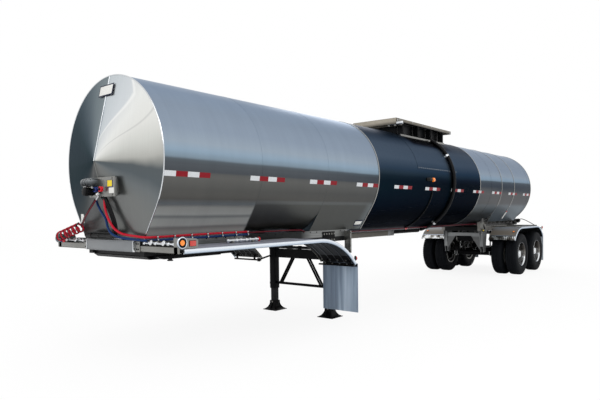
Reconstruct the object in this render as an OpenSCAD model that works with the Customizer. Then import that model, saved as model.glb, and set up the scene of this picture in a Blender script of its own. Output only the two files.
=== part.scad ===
// Insulated tank semi-trailer with tandem air-ride axles, parked level on its landing legs.
// +X points forward, +Y to the trailer's left, +Z up; the origin is on the ground under the middle.
// Stations are measured rearwards from the front rim of the jacket, in millimetres.

/* [Tank] */
// Outer radius of the insulation jacket
tank_r = 944; // [900:4:980]
// Height of the tank's centre line
tank_z = 2158; // [2140:2:2180]
// Length of the jacket between its two rims
tank_l = 11914; // [11700:2:12000]
// Station where the dark centre band starts
band_start = 4084; // [3950:2:4200]
// Station where the dark centre band ends
band_end = 8320; // [8150:2:8450]
// Depth of the coned front head
head_depth = 210; // [150:5:260]
// Depth of the dished rear head
dish_depth = 170; // [120:5:200]

/* [Front] */
// Height of the bumper's underside
bumper_z = 1185; // [1170:5:1200]
// Height of the upper coupler's underside
coupler_z = 1095; // [1085:1:1110]
// Station of the kingpin
kingpin_s = 760; // [600:10:900]
// Station of the landing legs
leg_s = 3260; // [3200:10:3320]
// Distance from the centre line to each landing leg
leg_y = 562; // [540:2:580]

/* [Running gear] */
// Outer radius of a tyre
tyre_r = 507; // [500:1:527]
// Width of a tyre
tyre_w = 280; // [270:2:286]
// Distance between the two tyres of a pair, centre to centre
twin_pitch = 343; // [335:1:350]
// Overall width over the tyres
track_w = 2440; // [2420:2:2460]
// Station of the front axle
axle1_s = 10330; // [10280:5:10380]
// Distance between the two axles
axle_gap = 1245; // [1235:1:1260]

/* [Top] */
// Station of the walkway's front edge
walk_start = 5480; // [5400:10:5500]
// Length of the walkway
walk_l = 2380; // [2300:10:2450]
// Width of the walkway
walk_w = 940; // [900:10:960]
// Height of the walkway's deck
walk_z = 3300; // [3280:2:3320]
// Station of the manway
manway_s = 6300; // [6200:10:6400]

/* [Hidden] */
$fn = 96;
front_end = 310;                     // the connection bracket reaches this far ahead of the rim
rear_end = 12250;                    // the rear bumper's back face
mid_s = (rear_end - front_end) / 2;  // station of the origin
axle2_s = axle1_s + axle_gap;
keel_angle = 33;                     // where the flat lower flanks leave the round jacket
keel_z = 1312;                       // underside of the flanked stretches
side_y = track_w / 2;
outer_y = side_y - tyre_w / 2;       // centre of the outer tyre
inner_y = outer_y - twin_pitch;
bead_r = 288;
deck_z = 1232;                       // top of the front mudguards
guard_r = 655;                       // rear mudguards, about each wheel

// A station's place along X
function fx(s) = mid_s - s;

// An outline in the Y-Z plane, run from station s0 back to station s1
module along(s0, s1) translate([fx(s1), 0, 0]) rotate([90, 0, 90]) linear_extrude(s1 - s0) children();

// An outline in the station-height plane, run across from y0 to y1
module across(y0, y1)
    translate([mid_s, y1, 0]) mirror([1, 0, 0]) rotate([90, 0, 0]) linear_extrude(y1 - y0) children();

// A box given by its stations, its sides and its heights
module block(s, y, z) translate([fx(s[1]), y[0], z[0]]) cube([s[1] - s[0], y[1] - y[0], z[1] - z[0]]);

// A round bar between two points given as [station, y, z]
module bar(a, b, r) {
    p = [fx(a[0]), a[1], a[2]];
    d = [fx(b[0]) - p[0], b[1] - a[1], b[2] - a[2]];
    l = norm(d);
    translate(p) rotate([0, acos(d[2] / l), atan2(d[1], d[0])]) cylinder(h = l, r = r, $fn = 24);
}

// The same on both sides
module both() { children(); mirror([0, 1, 0]) children(); }

// --- jacket -----------------------------------------------------------------

module tank_round(r = tank_r) translate([0, tank_z]) circle(r = r, $fn = 180);

keel_out = tank_r * cos(keel_angle);
keel_top = tank_z - tank_r * sin(keel_angle);
keel_in = keel_out - (keel_top - keel_z) * tan(keel_angle);

// Flat flanks that run on from the round jacket down to the frame
module keel() polygon([[-keel_out, keel_top], [keel_out, keel_top], [keel_in, keel_z], [-keel_in, keel_z]]);

keel1_end = 1430;
keel2_start = 2760;
keel3_start = 9670;
keel3_end = 11700;

module tank_front() color("silver") {
    along(0, band_start) tank_round();
    along(0, keel1_end) keel();
    along(keel2_start, band_start) keel();
}

module tank_band() color([0.05, 0.07, 0.11]) along(band_start, band_end) tank_round();

module tank_rear() color("silver") {
    along(band_end, tank_l) tank_round();
    along(keel3_start, keel3_end) keel();
}

module head_cone() translate([fx(0), 0, tank_z]) rotate([0, 90, 0])
    cylinder(h = head_depth, r1 = tank_r, r2 = 12, $fn = 180);
module front_head() color("silver") {
    head_cone();
    // the flat flanks close onto the cone's tip
    polyhedron(
        points = [[fx(0), keel_out, keel_top], [fx(0), keel_in, keel_z], [fx(0), -keel_in, keel_z],
                  [fx(0), -keel_out, keel_top], [fx(-head_depth), 0, tank_z]],
        faces = [[0, 3, 2, 1], [0, 1, 4], [1, 2, 4], [2, 3, 4], [3, 0, 4]]);
}

dish_r = (tank_r * tank_r + dish_depth * dish_depth) / (2 * dish_depth);
dish_half = asin(tank_r / dish_r);
dish_steps = 10;
module rear_head() color("silver") translate([fx(tank_l), 0, tank_z]) rotate([0, -90, 0])
    rotate_extrude($fn = 180) polygon(concat([[0, 0]],
        [for (i = [dish_steps : -1 : 0]) let (a = dish_half * i / dish_steps)
            [dish_r * sin(a), dish_depth - dish_r * (1 - cos(a))]]));

// Raised bands round the jacket at its rims and joints
module jacket_band(s, w, t) along(s, s + w) difference() { tank_round(tank_r + t); tank_round(tank_r + 0.2); }
band_stations = [0, band_start - 12, band_end - 12, keel3_start, 10570, tank_l - 24];
module jacket_bands() color("lightgray") for (s = band_stations)
    difference() {
        jacket_band(s, 24, 7);
        // open below, where the flanks and the frame are
        block([s - 1, s + 25], [-800, 800], [1000, keel_top + 20]);
    }

// --- top ---------------------------------------------------------------------

walk_end = walk_start + walk_l;
walk_depth = 118;
spill_y = 330;
spill_start = walk_start + 240;
spill_end = walk_end - 330;

module spill_box() color("silver") difference() {
    block([spill_start, spill_end], [-spill_y, spill_y], [tank_z + 850, walk_z - 55]);
    block([spill_start + 8, spill_end - 8], [-spill_y + 8, spill_y - 8], [tank_z, walk_z]);
    along(spill_start - 1, spill_end + 1) tank_round(tank_r + 0.3);
}

tray_h = 46;        // hollow below the deck plates
rail_h = 60;        // the side channels
module walkway() color("gainsboro") {
    // front and rear trays
    for (s = [[walk_start, spill_start - 8], [spill_end + 8, walk_end]]) difference() {
        block(s, [-walk_w / 2, walk_w / 2], [walk_z - walk_depth, walk_z]);
        block([s[0] + 6, s[1] - 6], [-walk_w / 2 + 6, walk_w / 2 - 6], [walk_z - walk_depth - 1, walk_z - tray_h]);
    }
    both() {
        block([spill_start - 7.6, spill_end + 7.6], [spill_y + 8, walk_w / 2], [walk_z - rail_h, walk_z]);
        // brackets down to the jacket
        for (s = [spill_start + 30, spill_start + 640, spill_end - 620, spill_end - 60]) difference() {
            block([s, s + 40], [spill_y + 14, walk_w / 2 - 20], [tank_z + 700, walk_z - rail_h - 0.3]);
            along(s - 1, s + 41) tank_round(tank_r + 0.3);
        }
    }
}

neck_r = 255;
neck_top = walk_z + 10;
module manway_neck() color("silver") difference() {
    union() {
        translate([fx(manway_s), 0, tank_z + 900]) cylinder(h = neck_top - tank_z - 900, r = neck_r);
        translate([fx(manway_s), 0, neck_top - 22]) cylinder(h = 22, r = neck_r + 32);
        // lugs that carry the lid's hinge pin
        for (y = [-70, 48]) {
            block([manway_s + neck_r + 8, manway_s + lid_pin_s + 18], [y, y + 22], [neck_top - 22, neck_top]);
            block([manway_s + neck_r + 42, manway_s + lid_pin_s + 18], [y, y + 22], [neck_top - 22, lid_pin_z + 18]);
        }
    }
    translate([fx(manway_s), 0, tank_z + 960]) cylinder(h = 500, r = neck_r - 10);
    along(manway_s - 400, manway_s + 400) tank_round(tank_r + 0.3);
    translate([fx(manway_s + lid_pin_s), -100, lid_pin_z]) rotate([-90, 0, 0]) cylinder(h = 200, r = 9);
}

lid_pin_s = neck_r + 75;
lid_pin_z = neck_top + 12;
module manway_lid() color("whitesmoke") {
    translate([fx(manway_s), 0, neck_top + 0.5]) cylinder(h = 16, r = neck_r + 32);
    translate([fx(manway_s), 0, neck_top + 16]) cylinder(h = 34, r1 = neck_r, r2 = 120);
    // hinge knuckle, pin and strap
    translate([fx(manway_s + lid_pin_s), -42, lid_pin_z]) rotate([-90, 0, 0]) cylinder(h = 84, r = 14);
    translate([fx(manway_s + lid_pin_s), -82, lid_pin_z]) rotate([-90, 0, 0]) cylinder(h = 164, r = 8.5);
    block([manway_s + 120, manway_s + lid_pin_s], [-40, 40], [neck_top + 8, neck_top + 22]);
}

module vent_valves() color("silver") {
    for (v = [[spill_start + 170, 0, 78, 150], [spill_end - 420, -140, 60, 130], [spill_end - 180, 90, 82, 160]]) {
        difference() {
            translate([fx(v[0]), v[1], tank_z + 900]) cylinder(h = 110 + v[3], r = v[2]);
            along(v[0] - 120, v[0] + 120) tank_round(tank_r + 0.3);
        }
        translate([fx(v[0]), v[1], tank_z + 1010 + v[3] - 40]) cylinder(h = 14, r = v[2] + 22);
    }
}

ladder_s = 6980;
ladder_y = -(tank_r + 118);
ladder_foot = 1230;
ladder_bend = 2480;
ladder_head = [-walk_w / 2 - 26, walk_z - 20];
module ladder() color("gainsboro") {
    for (s = [ladder_s - 190, ladder_s + 190]) {
        bar([s, ladder_y, ladder_foot], [s, ladder_y, ladder_bend], 17);
        translate([fx(s), ladder_y, ladder_bend]) sphere(r = 17, $fn = 24);
        bar([s, ladder_y, ladder_bend], [s, ladder_head[0], ladder_head[1]], 17);
        // stand-offs into the jacket and the walkway
        bar([s, ladder_y, 1700], [s, -834, 1700], 13);
        bar([s, ladder_y, ladder_bend - 60], [s, -912, ladder_bend - 60], 13);
        bar([s, ladder_head[0], ladder_head[1]], [s, -walk_w / 2 - 0.5, ladder_head[1]], 13);
    }
    for (z = [ladder_foot + 60 : 290 : ladder_bend - 30])
        bar([ladder_s - 190, ladder_y, z], [ladder_s + 190, ladder_y, z], 14);
    for (t = [0.22, 0.48, 0.74, 0.97]) bar(ladder_point(-190, t), ladder_point(190, t), 14);
}
function ladder_point(ds, t) =
    [ladder_s + ds, ladder_y + (ladder_head[0] - ladder_y) * t, ladder_bend + (ladder_head[1] - ladder_bend) * t];

hose_s = 6860;
hose_r = 34;
hose_top = 60;      // degrees above the horizontal
hose_end = -76;
module drain_hose() color([0.04, 0.04, 0.05]) {
    translate([fx(hose_s), 0, tank_z]) rotate([90, 0, 90]) rotate([0, 0, hose_end])
        rotate_extrude(angle = hose_top - hose_end, $fn = 180) translate([tank_r + hose_r + 2, 0]) circle(r = hose_r, $fn = 32);
}

// --- front -------------------------------------------------------------------

bracket_z = [1770, 1980];
module valve_bracket() color("silver") {
    // plate that stands ahead of the cone, its box and its feet
    block([-185, -173], [-150, 350], bracket_z);
    block([-285, -185], [-185, 40], [1880, 1975]);
    difference() {
        for (y = [-110, 300]) block([-173, -100], [y - 12, y + 12], [1800, 1955]);
        translate([8, 0, 0]) head_cone();
    }
}

module gladhands() color("firebrick") {
    translate([fx(-185), 45, 1850]) rotate([0, 90, 0]) cylinder(h = 70, r = 30);
    translate([fx(-185), 150, 1850]) rotate([0, 90, 0]) cylinder(h = 70, r = 30);
    translate([fx(-185), -60, 1830]) rotate([0, 90, 0]) cylinder(h = front_end - 185, r = 48);
}

// A tube swept along a list of points, as one closed skin
function unit(v) = v / norm(v);
function direction(p, i) = unit(p[min(i + 1, len(p) - 1)] - p[max(i - 1, 0)]);
function side(d) = abs(d[2]) > 0.9 ? unit(cross(d, [0, 1, 0])) : unit(cross(d, [0, 0, 1]));
function ring(p, i, r, n) = let (d = direction(p, i), u = side(d), v = cross(d, u))
    [for (k = [0 : n - 1]) p[i] + r * (cos(360 * k / n) * u + sin(360 * k / n) * v)];
module tube(p, r, n = 8) {
    m = len(p);
    polyhedron(
        points = [for (i = [0 : m - 1]) each ring(p, i, r, n)],
        faces = concat(
            [[for (k = [0 : n - 1]) k]],
            [for (i = [0 : m - 2]) for (k = [0 : n - 1])
                [i * n + k, (i + 1) * n + k, (i + 1) * n + (k + 1) % n, i * n + (k + 1) % n]],
            [[for (k = [n - 1 : -1 : 0]) (m - 1) * n + k]]));
}
function placed(p) = [for (q = p) [fx(q[0]), q[1], q[2]]];

red_route = [[-160, 110, 1764], [-166, 125, 1660], [-160, 175, 1540], [-140, 245, 1440], [-110, 320, 1385],
             [-82, 400, 1365], [-62, 500, 1355], [-40, 590, 1345], [0, 645, 1340], [80, 665, 1340],
             [500, 665, 1345], [1000, 665, 1350], [1440, 665, 1350]];
blue_route = [[-160, -50, 1764], [-162, -30, 1700], [-164, 50, 1610], [-162, 130, 1532], [-156, 160, 1440],
              [-145, 220, 1375], [-118, 320, 1340], [-82, 420, 1326], [-62, 510, 1318], [-40, 595, 1312],
              [0, 650, 1308], [80, 672, 1308], [500, 672, 1312], [1000, 672, 1316], [1440, 672, 1318]];
power_route = [[-160, 140, 1740], [-145, 155, 1680], [-124, 190, 1580], [-112, 220, 1460], [-106, 222, 1400],
               [-104, 196, 1362], [-101, 120, 1350], [-96, 0, 1350], [-92, -150, 1350], [-88, -300, 1350],
               [-84, -420, 1350]];

module air_lines() {
    color("firebrick") tube(placed(red_route), 13);
    color("navy") tube(placed(blue_route), 13);
    color([0.05, 0.05, 0.05]) tube(placed(power_route), 21);
}

coil_r = 62;
module coiled_line() color("firebrick") {
    bar([-107, -486, 1446], [-84, -1040, 1325], coil_r);
}

wing_z = [1190, 1258];
wing_y = 1172;
box_y = 472;
module bumper() color("lightgray") {
    block([-62, -24], [-box_y, box_y], [bumper_z, 1308]);
    both() {
        block([-30, 20], [box_y + 0.3, wing_y], wing_z);
        // upstand that carries the corner lamp
        block([-30, 200], [1196, 1204], [1238, 1346]);
        block([-30, -22], [wing_y - 60, 1196], [1190, 1346]);
    }
}

coupler_l = 1350;
module coupler_plate() color([0.05, 0.05, 0.06]) {
    difference() {
        across(-520, 520) polygon([[62, coupler_z + 34], [110, coupler_z], [coupler_l, coupler_z],
            [coupler_l, coupler_z + 10], [120, coupler_z + 10], [72, coupler_z + 41]]);
        translate([fx(kingpin_s), 0, coupler_z - 1]) cylinder(h = 20, r = 37);
    }
    both() block([150, coupler_l - 20], [478, 512], [coupler_z + 10, coupler_z + 42]);
    for (y = [-610, 520]) across(y + 0.2, y + 89.8) polygon([[150, coupler_z + 26], [230, coupler_z],
        [coupler_l - 320, coupler_z], [coupler_l - 300, coupler_z + 32], [150, coupler_z + 40]]);
}

module kingpin() color([0.2, 0.2, 0.22]) translate([fx(kingpin_s), 0, 0]) {
    translate([0, 0, coupler_z - 84]) cylinder(h = 13, r = 35.7);
    translate([0, 0, coupler_z - 71]) cylinder(h = 35, r = 25.4);
    translate([0, 0, coupler_z - 36]) cylinder(h = 47, r = 36.5);
    // bolster above the plate
    translate([0, 0, coupler_z + 10.3]) cylinder(h = 14, r = 105);
}

rail_y = [470, 548];
frame_l = 3760;
module front_frame() color([0.1, 0.1, 0.11]) {
    both() block([20, frame_l], rail_y, [coupler_z + 42, keel_z]);
    for (s = [60, 620, 1290, 2050, 2700, leg_s - 60, frame_l - 70])
        block([s, s + 70], [-rail_y[0] - 1, rail_y[0] + 1], [coupler_z + 42, 1212]);
}

guard_bend_s = 2200;
guard_bend_r = 1100;
guard_sweep = 48;
guard_in = 600;
guard_out = 1216;
// side outline of a front mudguard: a long deck that bends down over the towing vehicle's wheels
module guard_line(top, t) {
    translate([20, deck_z - t + top]) square([guard_bend_s - 20, t]);
    translate([guard_bend_s, deck_z - guard_bend_r]) intersection() {
        difference() {
            circle(r = guard_bend_r + top, $fn = 240);
            circle(r = guard_bend_r + top - t, $fn = 240);
        }
        polygon([[0, 0], [0, 2 * guard_bend_r],
                 [2 * guard_bend_r * sin(guard_sweep), 2 * guard_bend_r],
                 [2 * guard_bend_r * sin(guard_sweep), 2 * guard_bend_r * cos(guard_sweep)]]);
    }
}
module front_fender(flap) {
    across(guard_in, guard_out - 14) guard_line(0, 5);
    across(guard_out - 14, guard_out) guard_line(6, 52);
    // posts and arms from the frame
    for (s = [700, 1500, 2120]) block([s, s + 50], [rail_y[1] + 0.5, guard_out - 30], [deck_z - 45, deck_z - 5.2]);
    // brace behind the bend, on a post from the frame
    for (y = [720, 1120]) block([2950, 2985], [y, y + 20], [840, 902]);
    block([2950, 2985], [590, guard_out - 30], [815, 840]);
    brace_s = flap ? flap_s + flap_t + 0.5 : 2967;
    block([brace_s, brace_s + 12], [610, 670], [800, 860]);
    bar([brace_s + 6, 640, 832], [3700, 640, 960], 14);
    block([3680, 3720], [rail_y[1] + 0.5, 656], [940, 1290]);
}
module front_fender_left() color("lightgray") front_fender(true);
module front_fender_right() color("lightgray") mirror([0, 1, 0]) front_fender(false);

flap_s = 3038;
rear_flap_s = 12150;
flap_t = 8;
module mud_flaps() color("lightsteelblue") {
    block([flap_s, flap_s + flap_t], [guard_in + 4, guard_in + 614], [165, 856]);
    both() block([rear_flap_s, rear_flap_s + flap_t], [590, 1200], [220, 905]);
}

// --- landing gear --------------------------------------------------------------

leg_a = 114;
leg_low = 352;
module landing_legs() color([0.05, 0.05, 0.06]) both() {
    block([leg_s - leg_a / 2, leg_s + leg_a / 2], [leg_y - leg_a / 2, leg_y + leg_a / 2], [leg_low, coupler_z + 30]);
    // mounting plate on the frame rail
    block([leg_s - 150, leg_s + 150], [rail_y[1] + 0.4, rail_y[1] + 12], [coupler_z + 40, 1290]);
}
foot_a = 286;
module landing_feet() color([0.05, 0.05, 0.06]) both() {
    // inner tube, pin boss and flared shoe
    block([leg_s - 46, leg_s + 46], [leg_y - 46, leg_y + 46], [120, leg_low - 0.3]);
    hull() {
        block([leg_s - 62, leg_s + 62], [leg_y - 62, leg_y + 62], [100, 150]);
        block([leg_s - foot_a / 2 + 26, leg_s + foot_a / 2 - 26], [leg_y - foot_a / 2 + 26, leg_y + foot_a / 2 - 26], [10, 22]);
    }
    block([leg_s - foot_a / 2, leg_s + foot_a / 2], [leg_y - foot_a / 2, leg_y + foot_a / 2], [0, 10]);
}
brace_z = 445;
module leg_braces() color([0.05, 0.05, 0.06]) {
    in_y = leg_y - leg_a / 2 - 0.4;
    bar([leg_s, -in_y, brace_z], [leg_s, in_y, brace_z], 21);
    both() for (ds = [-28, 28]) bar([leg_s + ds, in_y - 90, brace_z + 6], [leg_s + ds, 150, 875], 16);
    // deep beam between the legs
    block([leg_s - 45, leg_s + 45], [-in_y, in_y], [860, 1000]);
}

// --- running gear ----------------------------------------------------------------

beam_y = [420, 496];
suspension_s = [axle1_s, axle2_s];
module rear_frame() color("silver") {
    both() block([9480, 11960], beam_y, [1090, keel_z]);
    for (s = [9500, 9960, 10700, 11180, 11890]) block([s, s + 60], [-beam_y[0] - 1, beam_y[0] + 1], [1090, 1180]);
}
module hangers() color("silver") for (s = suspension_s) {
    both() {
        across(beam_y[0], beam_y[0] + 10) polygon([[s - 760, 1090], [s - 420, 1090], [s - 520, 560], [s - 640, 560]]);
        across(beam_y[1] - 10, beam_y[1]) polygon([[s - 760, 1090], [s - 420, 1090], [s - 520, 560], [s - 640, 560]]);
        block([s - 690, s - 640], [beam_y[0], beam_y[1]], [700, 1090]);
        // gusset in to the cross beam
        along(s - 690, s - 680) polygon([[beam_y[0] + 1, 620], [beam_y[0] + 1, 1040], [200, 1040], [200, 960]]);
    }
    block([s - 690, s - 640], [-beam_y[0] - 1, beam_y[0] + 1], [960, 1040]);
}
spindle_r = 45;
module axles() color([0.08, 0.08, 0.09]) for (s = suspension_s) {
    bar([s, -540, tyre_r], [s, 540, tyre_r], 64);
    bar([s, -(side_y - 150), tyre_r], [s, side_y - 150, tyre_r], spindle_r);
    // trailing beams from the hangers, over the axle and back under the air springs
    both() {
        across(beam_y[0] + 16, beam_y[1] - 16) polygon([[s - 620, 590], [s - 560, 575], [s - 60, tyre_r + 50],
            [s + 80, tyre_r + 50], [s + 400, 600], [s + 400, 640], [s + 60, tyre_r + 130],
            [s - 80, tyre_r + 130], [s - 560, 665], [s - 620, 650]]);
    }
}
module air_springs() color([0.05, 0.05, 0.05]) for (s = suspension_s) both()
    translate([fx(s + 300), (beam_y[0] + beam_y[1]) / 2, 646]) {
        cylinder(h = 443, r = 60);
        translate([0, 0, 90]) cylinder(h = 300, r = 112);
    }

// half outline of a tyre: tread, shoulder, wall and bead
module tyre_outline() {
    h = tyre_w / 2;
    polygon([[bead_r, -h + 34], [bead_r + 30, -h + 12], [390, -h], [450, -h + 8], [486, -h + 26], [tyre_r - 8, -h + 44],
             [tyre_r, -h + 66], [tyre_r, h - 66], [tyre_r - 8, h - 44], [486, h - 26], [450, h - 8], [390, h],
             [bead_r + 30, h - 12], [bead_r, h - 34]]);
}
module turned(s, y) translate([fx(s), y, tyre_r]) rotate([-90, 0, 0]) rotate_extrude($fn = 120) children();
module tyre_pair(s) color([0.03, 0.03, 0.03]) {
    turned(s, inner_y) tyre_outline();
    turned(s, outer_y) tyre_outline();
}
hub_bore = spindle_r + 5;
module rim_pair(s) color("whitesmoke") {
    // two rims back to back, their discs bolted to one hub
    turned(s, 0) difference() {
        polygon([[hub_bore, inner_y + 40], [110, inner_y + 40], [110, outer_y - 190], [240, outer_y - 190],
                 [262, inner_y + 128], [262, inner_y - 108], [bead_r - 0.4, inner_y - 118], [bead_r - 0.4, outer_y + 118],
                 [262, outer_y + 108], [262, outer_y - 96], [150, outer_y - 150], [110, outer_y - 150],
                 [105, outer_y + 60], [hub_bore, outer_y + 62]]);
        translate([255, inner_y + 150]) square([60, 44]);
    }
    translate([fx(s), outer_y + 62, tyre_r]) rotate([-90, 0, 0]) cylinder(h = 26, r = 80);
    // brake drum
    turned(s, 0) polygon([[hub_bore, inner_y + 39.7], [205, inner_y + 39.7], [205, inner_y - 90], [180, inner_y - 90],
        [180, inner_y + 10], [hub_bore, inner_y + 10]]);
}

module tyres_front_left() tyre_pair(axle1_s);
module rims_front_left() rim_pair(axle1_s);
module tyres_front_right() mirror([0, 1, 0]) tyre_pair(axle1_s);
module rims_front_right() mirror([0, 1, 0]) rim_pair(axle1_s);
module tyres_rear_left() tyre_pair(axle2_s);
module rims_rear_left() rim_pair(axle2_s);
module tyres_rear_right() mirror([0, 1, 0]) tyre_pair(axle2_s);
module rims_rear_right() mirror([0, 1, 0]) rim_pair(axle2_s);

// side outline of a rear mudguard: it follows both wheels, with a straight deck between
rear_guard_low = 870;
rear_guard_in = 575;
module rear_guard_line(t) intersection() {
    difference() {
        rear_guard_solid(guard_r);
        rear_guard_solid(guard_r - t);
    }
    translate([axle1_s - 900, rear_guard_low]) square([axle_gap + 1800, 600]);
}
module rear_guard_solid(r) {
    for (s = suspension_s) translate([s, tyre_r]) circle(r = r, $fn = 180);
    translate([axle1_s, tyre_r]) square([axle_gap, r]);
}
module rear_fender() {
    across(rear_guard_in, guard_out - 12) rear_guard_line(5);
    across(guard_out - 12, guard_out) rear_guard_line(38);
    for (s = [axle1_s - 30, axle2_s - 30]) block([s, s + 50], [beam_y[1] + 0.4, guard_out - 20],
        [tyre_r + guard_r + 0.3, tyre_r + guard_r + 30]);
}
module rear_fender_left() color("silver") rear_fender();
module rear_fender_right() color("silver") mirror([0, 1, 0]) rear_fender();

module rear_bumper() color("lightgray") {
    block([rear_end - 60, rear_end], [-1130, 1130], [470, 570]);
    both() {
        block([rear_end - 120, rear_end - 60], [430, 500], [470, 1180]);
        block([11961, rear_end - 60], [430, 500], [1095, 1180]);
        // arms that carry the flaps
        block([rear_flap_s - 30, rear_flap_s - 0.4], [430, 1200], [905, 945]);
    }
}

module lamps() color("orange") {
    both() {
        translate([fx(0), 1204.3, 1298]) rotate([-90, 0, 0]) cylinder(h = 12, r = 60);
        block([90, 170], [1204.3, 1212], [1260, 1316]);
        translate([fx(rear_end), 1060, 690]) rotate([0, 90, 0]) cylinder(h = 30, r = 55);
        translate([fx(rear_end), 900, 690]) rotate([0, 90, 0]) cylinder(h = 30, r = 55);
        block([rear_end - 50, rear_end - 30], [820, 1140], [620, 760]);
        block([rear_end - 55, rear_end - 30], [820, 860], [571, 760]);
    }
    both() translate([fx(5980), tank_r + 0.4, tank_z]) rotate([-90, 0, 0]) cylinder(h = 28, r = 32);
}

// --- below -----------------------------------------------------------------------

pipe_s = 11320;
pipe_z = 1010;
outlet_r = 38;
outlet_depth = 60;
module discharge_pipe() color("silver") {
    difference() {
        union() {
            difference() {
                translate([fx(pipe_s), 0, pipe_z - 40]) cylinder(h = 260, r = 44);
                along(pipe_s - 60, pipe_s + 60) tank_round(tank_r + 0.3);
            }
            bar([pipe_s, 0, pipe_z], [12070, 0, pipe_z], 44);
            translate([fx(12170), 0, pipe_z]) rotate([0, 90, 0]) cylinder(h = 109, r = 62);
            bar([12110, 0, pipe_z + 50], [12110, 0, pipe_z + 125], 12);
            bar([12110, -90, pipe_z + 125], [12110, 90, pipe_z + 125], 10);
        }
        translate([fx(12171), 0, pipe_z]) rotate([0, 90, 0]) cylinder(h = outlet_depth + 1, r = outlet_r);
    }
}

module hose_tube() color("silver") {
    block([3900, 7150], [-700, -540], [1060, 1205]);
    // end of the hose it holds
    bar([7149, -620, 1135], [8430, -620, 1135], 50);
    for (s = [4300, 5600, 6900, 8220]) difference() {
        block([s, s + 40], [-640, -600], [1175, 1420]);
        along(s - 1, s + 41) tank_round(tank_r + 0.3);
    }
}

tank_front();
tank_band();
tank_rear();
front_head();
rear_head();
jacket_bands();
spill_box();
walkway();
manway_neck();
manway_lid();
vent_valves();
ladder();
drain_hose();
valve_bracket();
gladhands();
air_lines();
coiled_line();
bumper();
coupler_plate();
kingpin();
front_frame();
front_fender_left();
front_fender_right();
mud_flaps();
landing_legs();
landing_feet();
leg_braces();
rear_frame();
hangers();
axles();
air_springs();
tyres_front_left();
rims_front_left();
tyres_front_right();
rims_front_right();
tyres_rear_left();
rims_rear_left();
tyres_rear_right();
rims_rear_right();
rear_fender_left();
rear_fender_right();
rear_bumper();
lamps();
discharge_pipe();
hose_tube();
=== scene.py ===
# Insulated tank semi-trailer: its visible pieces, finishes, lights and camera.
# Lengths are in metres. A station is a distance rearwards from the front rim of the jacket.
import bmesh, bpy, math
from math import cos, pi, radians, sin, tan
from mathutils import Matrix, Vector, noise


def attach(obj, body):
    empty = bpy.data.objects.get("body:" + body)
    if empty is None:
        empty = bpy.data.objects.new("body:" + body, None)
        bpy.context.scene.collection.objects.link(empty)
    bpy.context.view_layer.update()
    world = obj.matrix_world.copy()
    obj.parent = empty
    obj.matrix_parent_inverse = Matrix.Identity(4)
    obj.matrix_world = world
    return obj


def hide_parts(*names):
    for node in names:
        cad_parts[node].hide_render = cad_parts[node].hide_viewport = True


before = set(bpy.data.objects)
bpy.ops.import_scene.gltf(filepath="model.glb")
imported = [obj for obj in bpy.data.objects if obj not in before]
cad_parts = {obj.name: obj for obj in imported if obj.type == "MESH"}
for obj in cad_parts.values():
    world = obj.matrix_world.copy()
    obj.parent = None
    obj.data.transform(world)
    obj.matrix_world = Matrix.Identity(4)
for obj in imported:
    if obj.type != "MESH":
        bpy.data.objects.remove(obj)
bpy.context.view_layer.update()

rimX = 5.97                    # where station 0 lies
tank = dict(radius=0.944, middle=2.158, length=11.914, bandStart=4.084, bandEnd=8.32)
keel = dict(angle=33, floor=1.312, stretches=[(0, 1.43), (2.76, 4.084), (9.67, 11.7)])
wheel = dict(radius=0.507, outer=1.08, inner=0.737, axles=[10.33, 11.575])
toFront, toRear, toLeft, toTop, toFloor = (1, 0, 0), (-1, 0, 0), (0, 1, 0), (0, 0, 1), (0, 0, -1)
rail = dict(front=0.5487, rear=0.4967)      # how far out the frame's faces lie
edgeTint = (0.53, 0.57, 0.63, 1)            # how dark the steel turns at a grazing look


def at(s, y, z):
    return Vector((rimX - s, y, z))


def tone(red, green, blue):    # a screen colour, 0 to 255, as the linear one the shaders want
    def linear(v):
        v /= 255
        return v / 12.92 if v < 0.04045 else ((v + 0.055) / 1.055) ** 2.4
    return (linear(red), linear(green), linear(blue), 1.0)


def shaded(colour, factor):    # a colour made darker or lighter
    return tuple(min(1.0, c * factor) for c in colour[:3]) + (1.0,)


def span(side, near, far):     # from near to far on one side of the middle, low end first
    return (near, far) if side > 0 else (-far, -near)


def about(middle, half):
    return (middle - half, middle + half)


def mirrored(section, side):
    return [(side * y, lift) for y, lift in section]


def drum(low, high, radius):   # profile of a plain disc
    return [(low, 0), (low, radius), (high, radius), (high, 0)]


def collar(half, inner, outer):    # profile of a plain ring
    return [(-half, inner), (-half, outer), (half, outer), (half, inner)]


# camera and light

def makeCamera():
    shot = dict(place=(9.2378, 5.3758, 1.5718), yaw=3.8312, pitch=-0.0271, roll=-0.0121, focal=32.24, lift=0.0462)
    ahead = Vector((cos(shot["pitch"]) * cos(shot["yaw"]), cos(shot["pitch"]) * sin(shot["yaw"]), sin(shot["pitch"])))
    right = ahead.cross(Vector(toTop)).normalized()
    up = right.cross(ahead)
    tiltRight = right * cos(shot["roll"]) + up * sin(shot["roll"])
    tiltUp = up * cos(shot["roll"]) - right * sin(shot["roll"])
    data = bpy.data.cameras.new("camera")
    data.lens, data.sensor_width, data.shift_y = shot["focal"], 36, shot["lift"]
    data.clip_end = 200
    camera = bpy.data.objects.new("camera", data)
    camera.matrix_world = Matrix(((tiltRight.x, tiltUp.x, -ahead.x, shot["place"][0]),
        (tiltRight.y, tiltUp.y, -ahead.y, shot["place"][1]), (tiltRight.z, tiltUp.z, -ahead.z, shot["place"][2]),
        (0, 0, 0, 1)))
    bpy.context.scene.collection.objects.link(camera)
    bpy.context.scene.camera = camera


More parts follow.
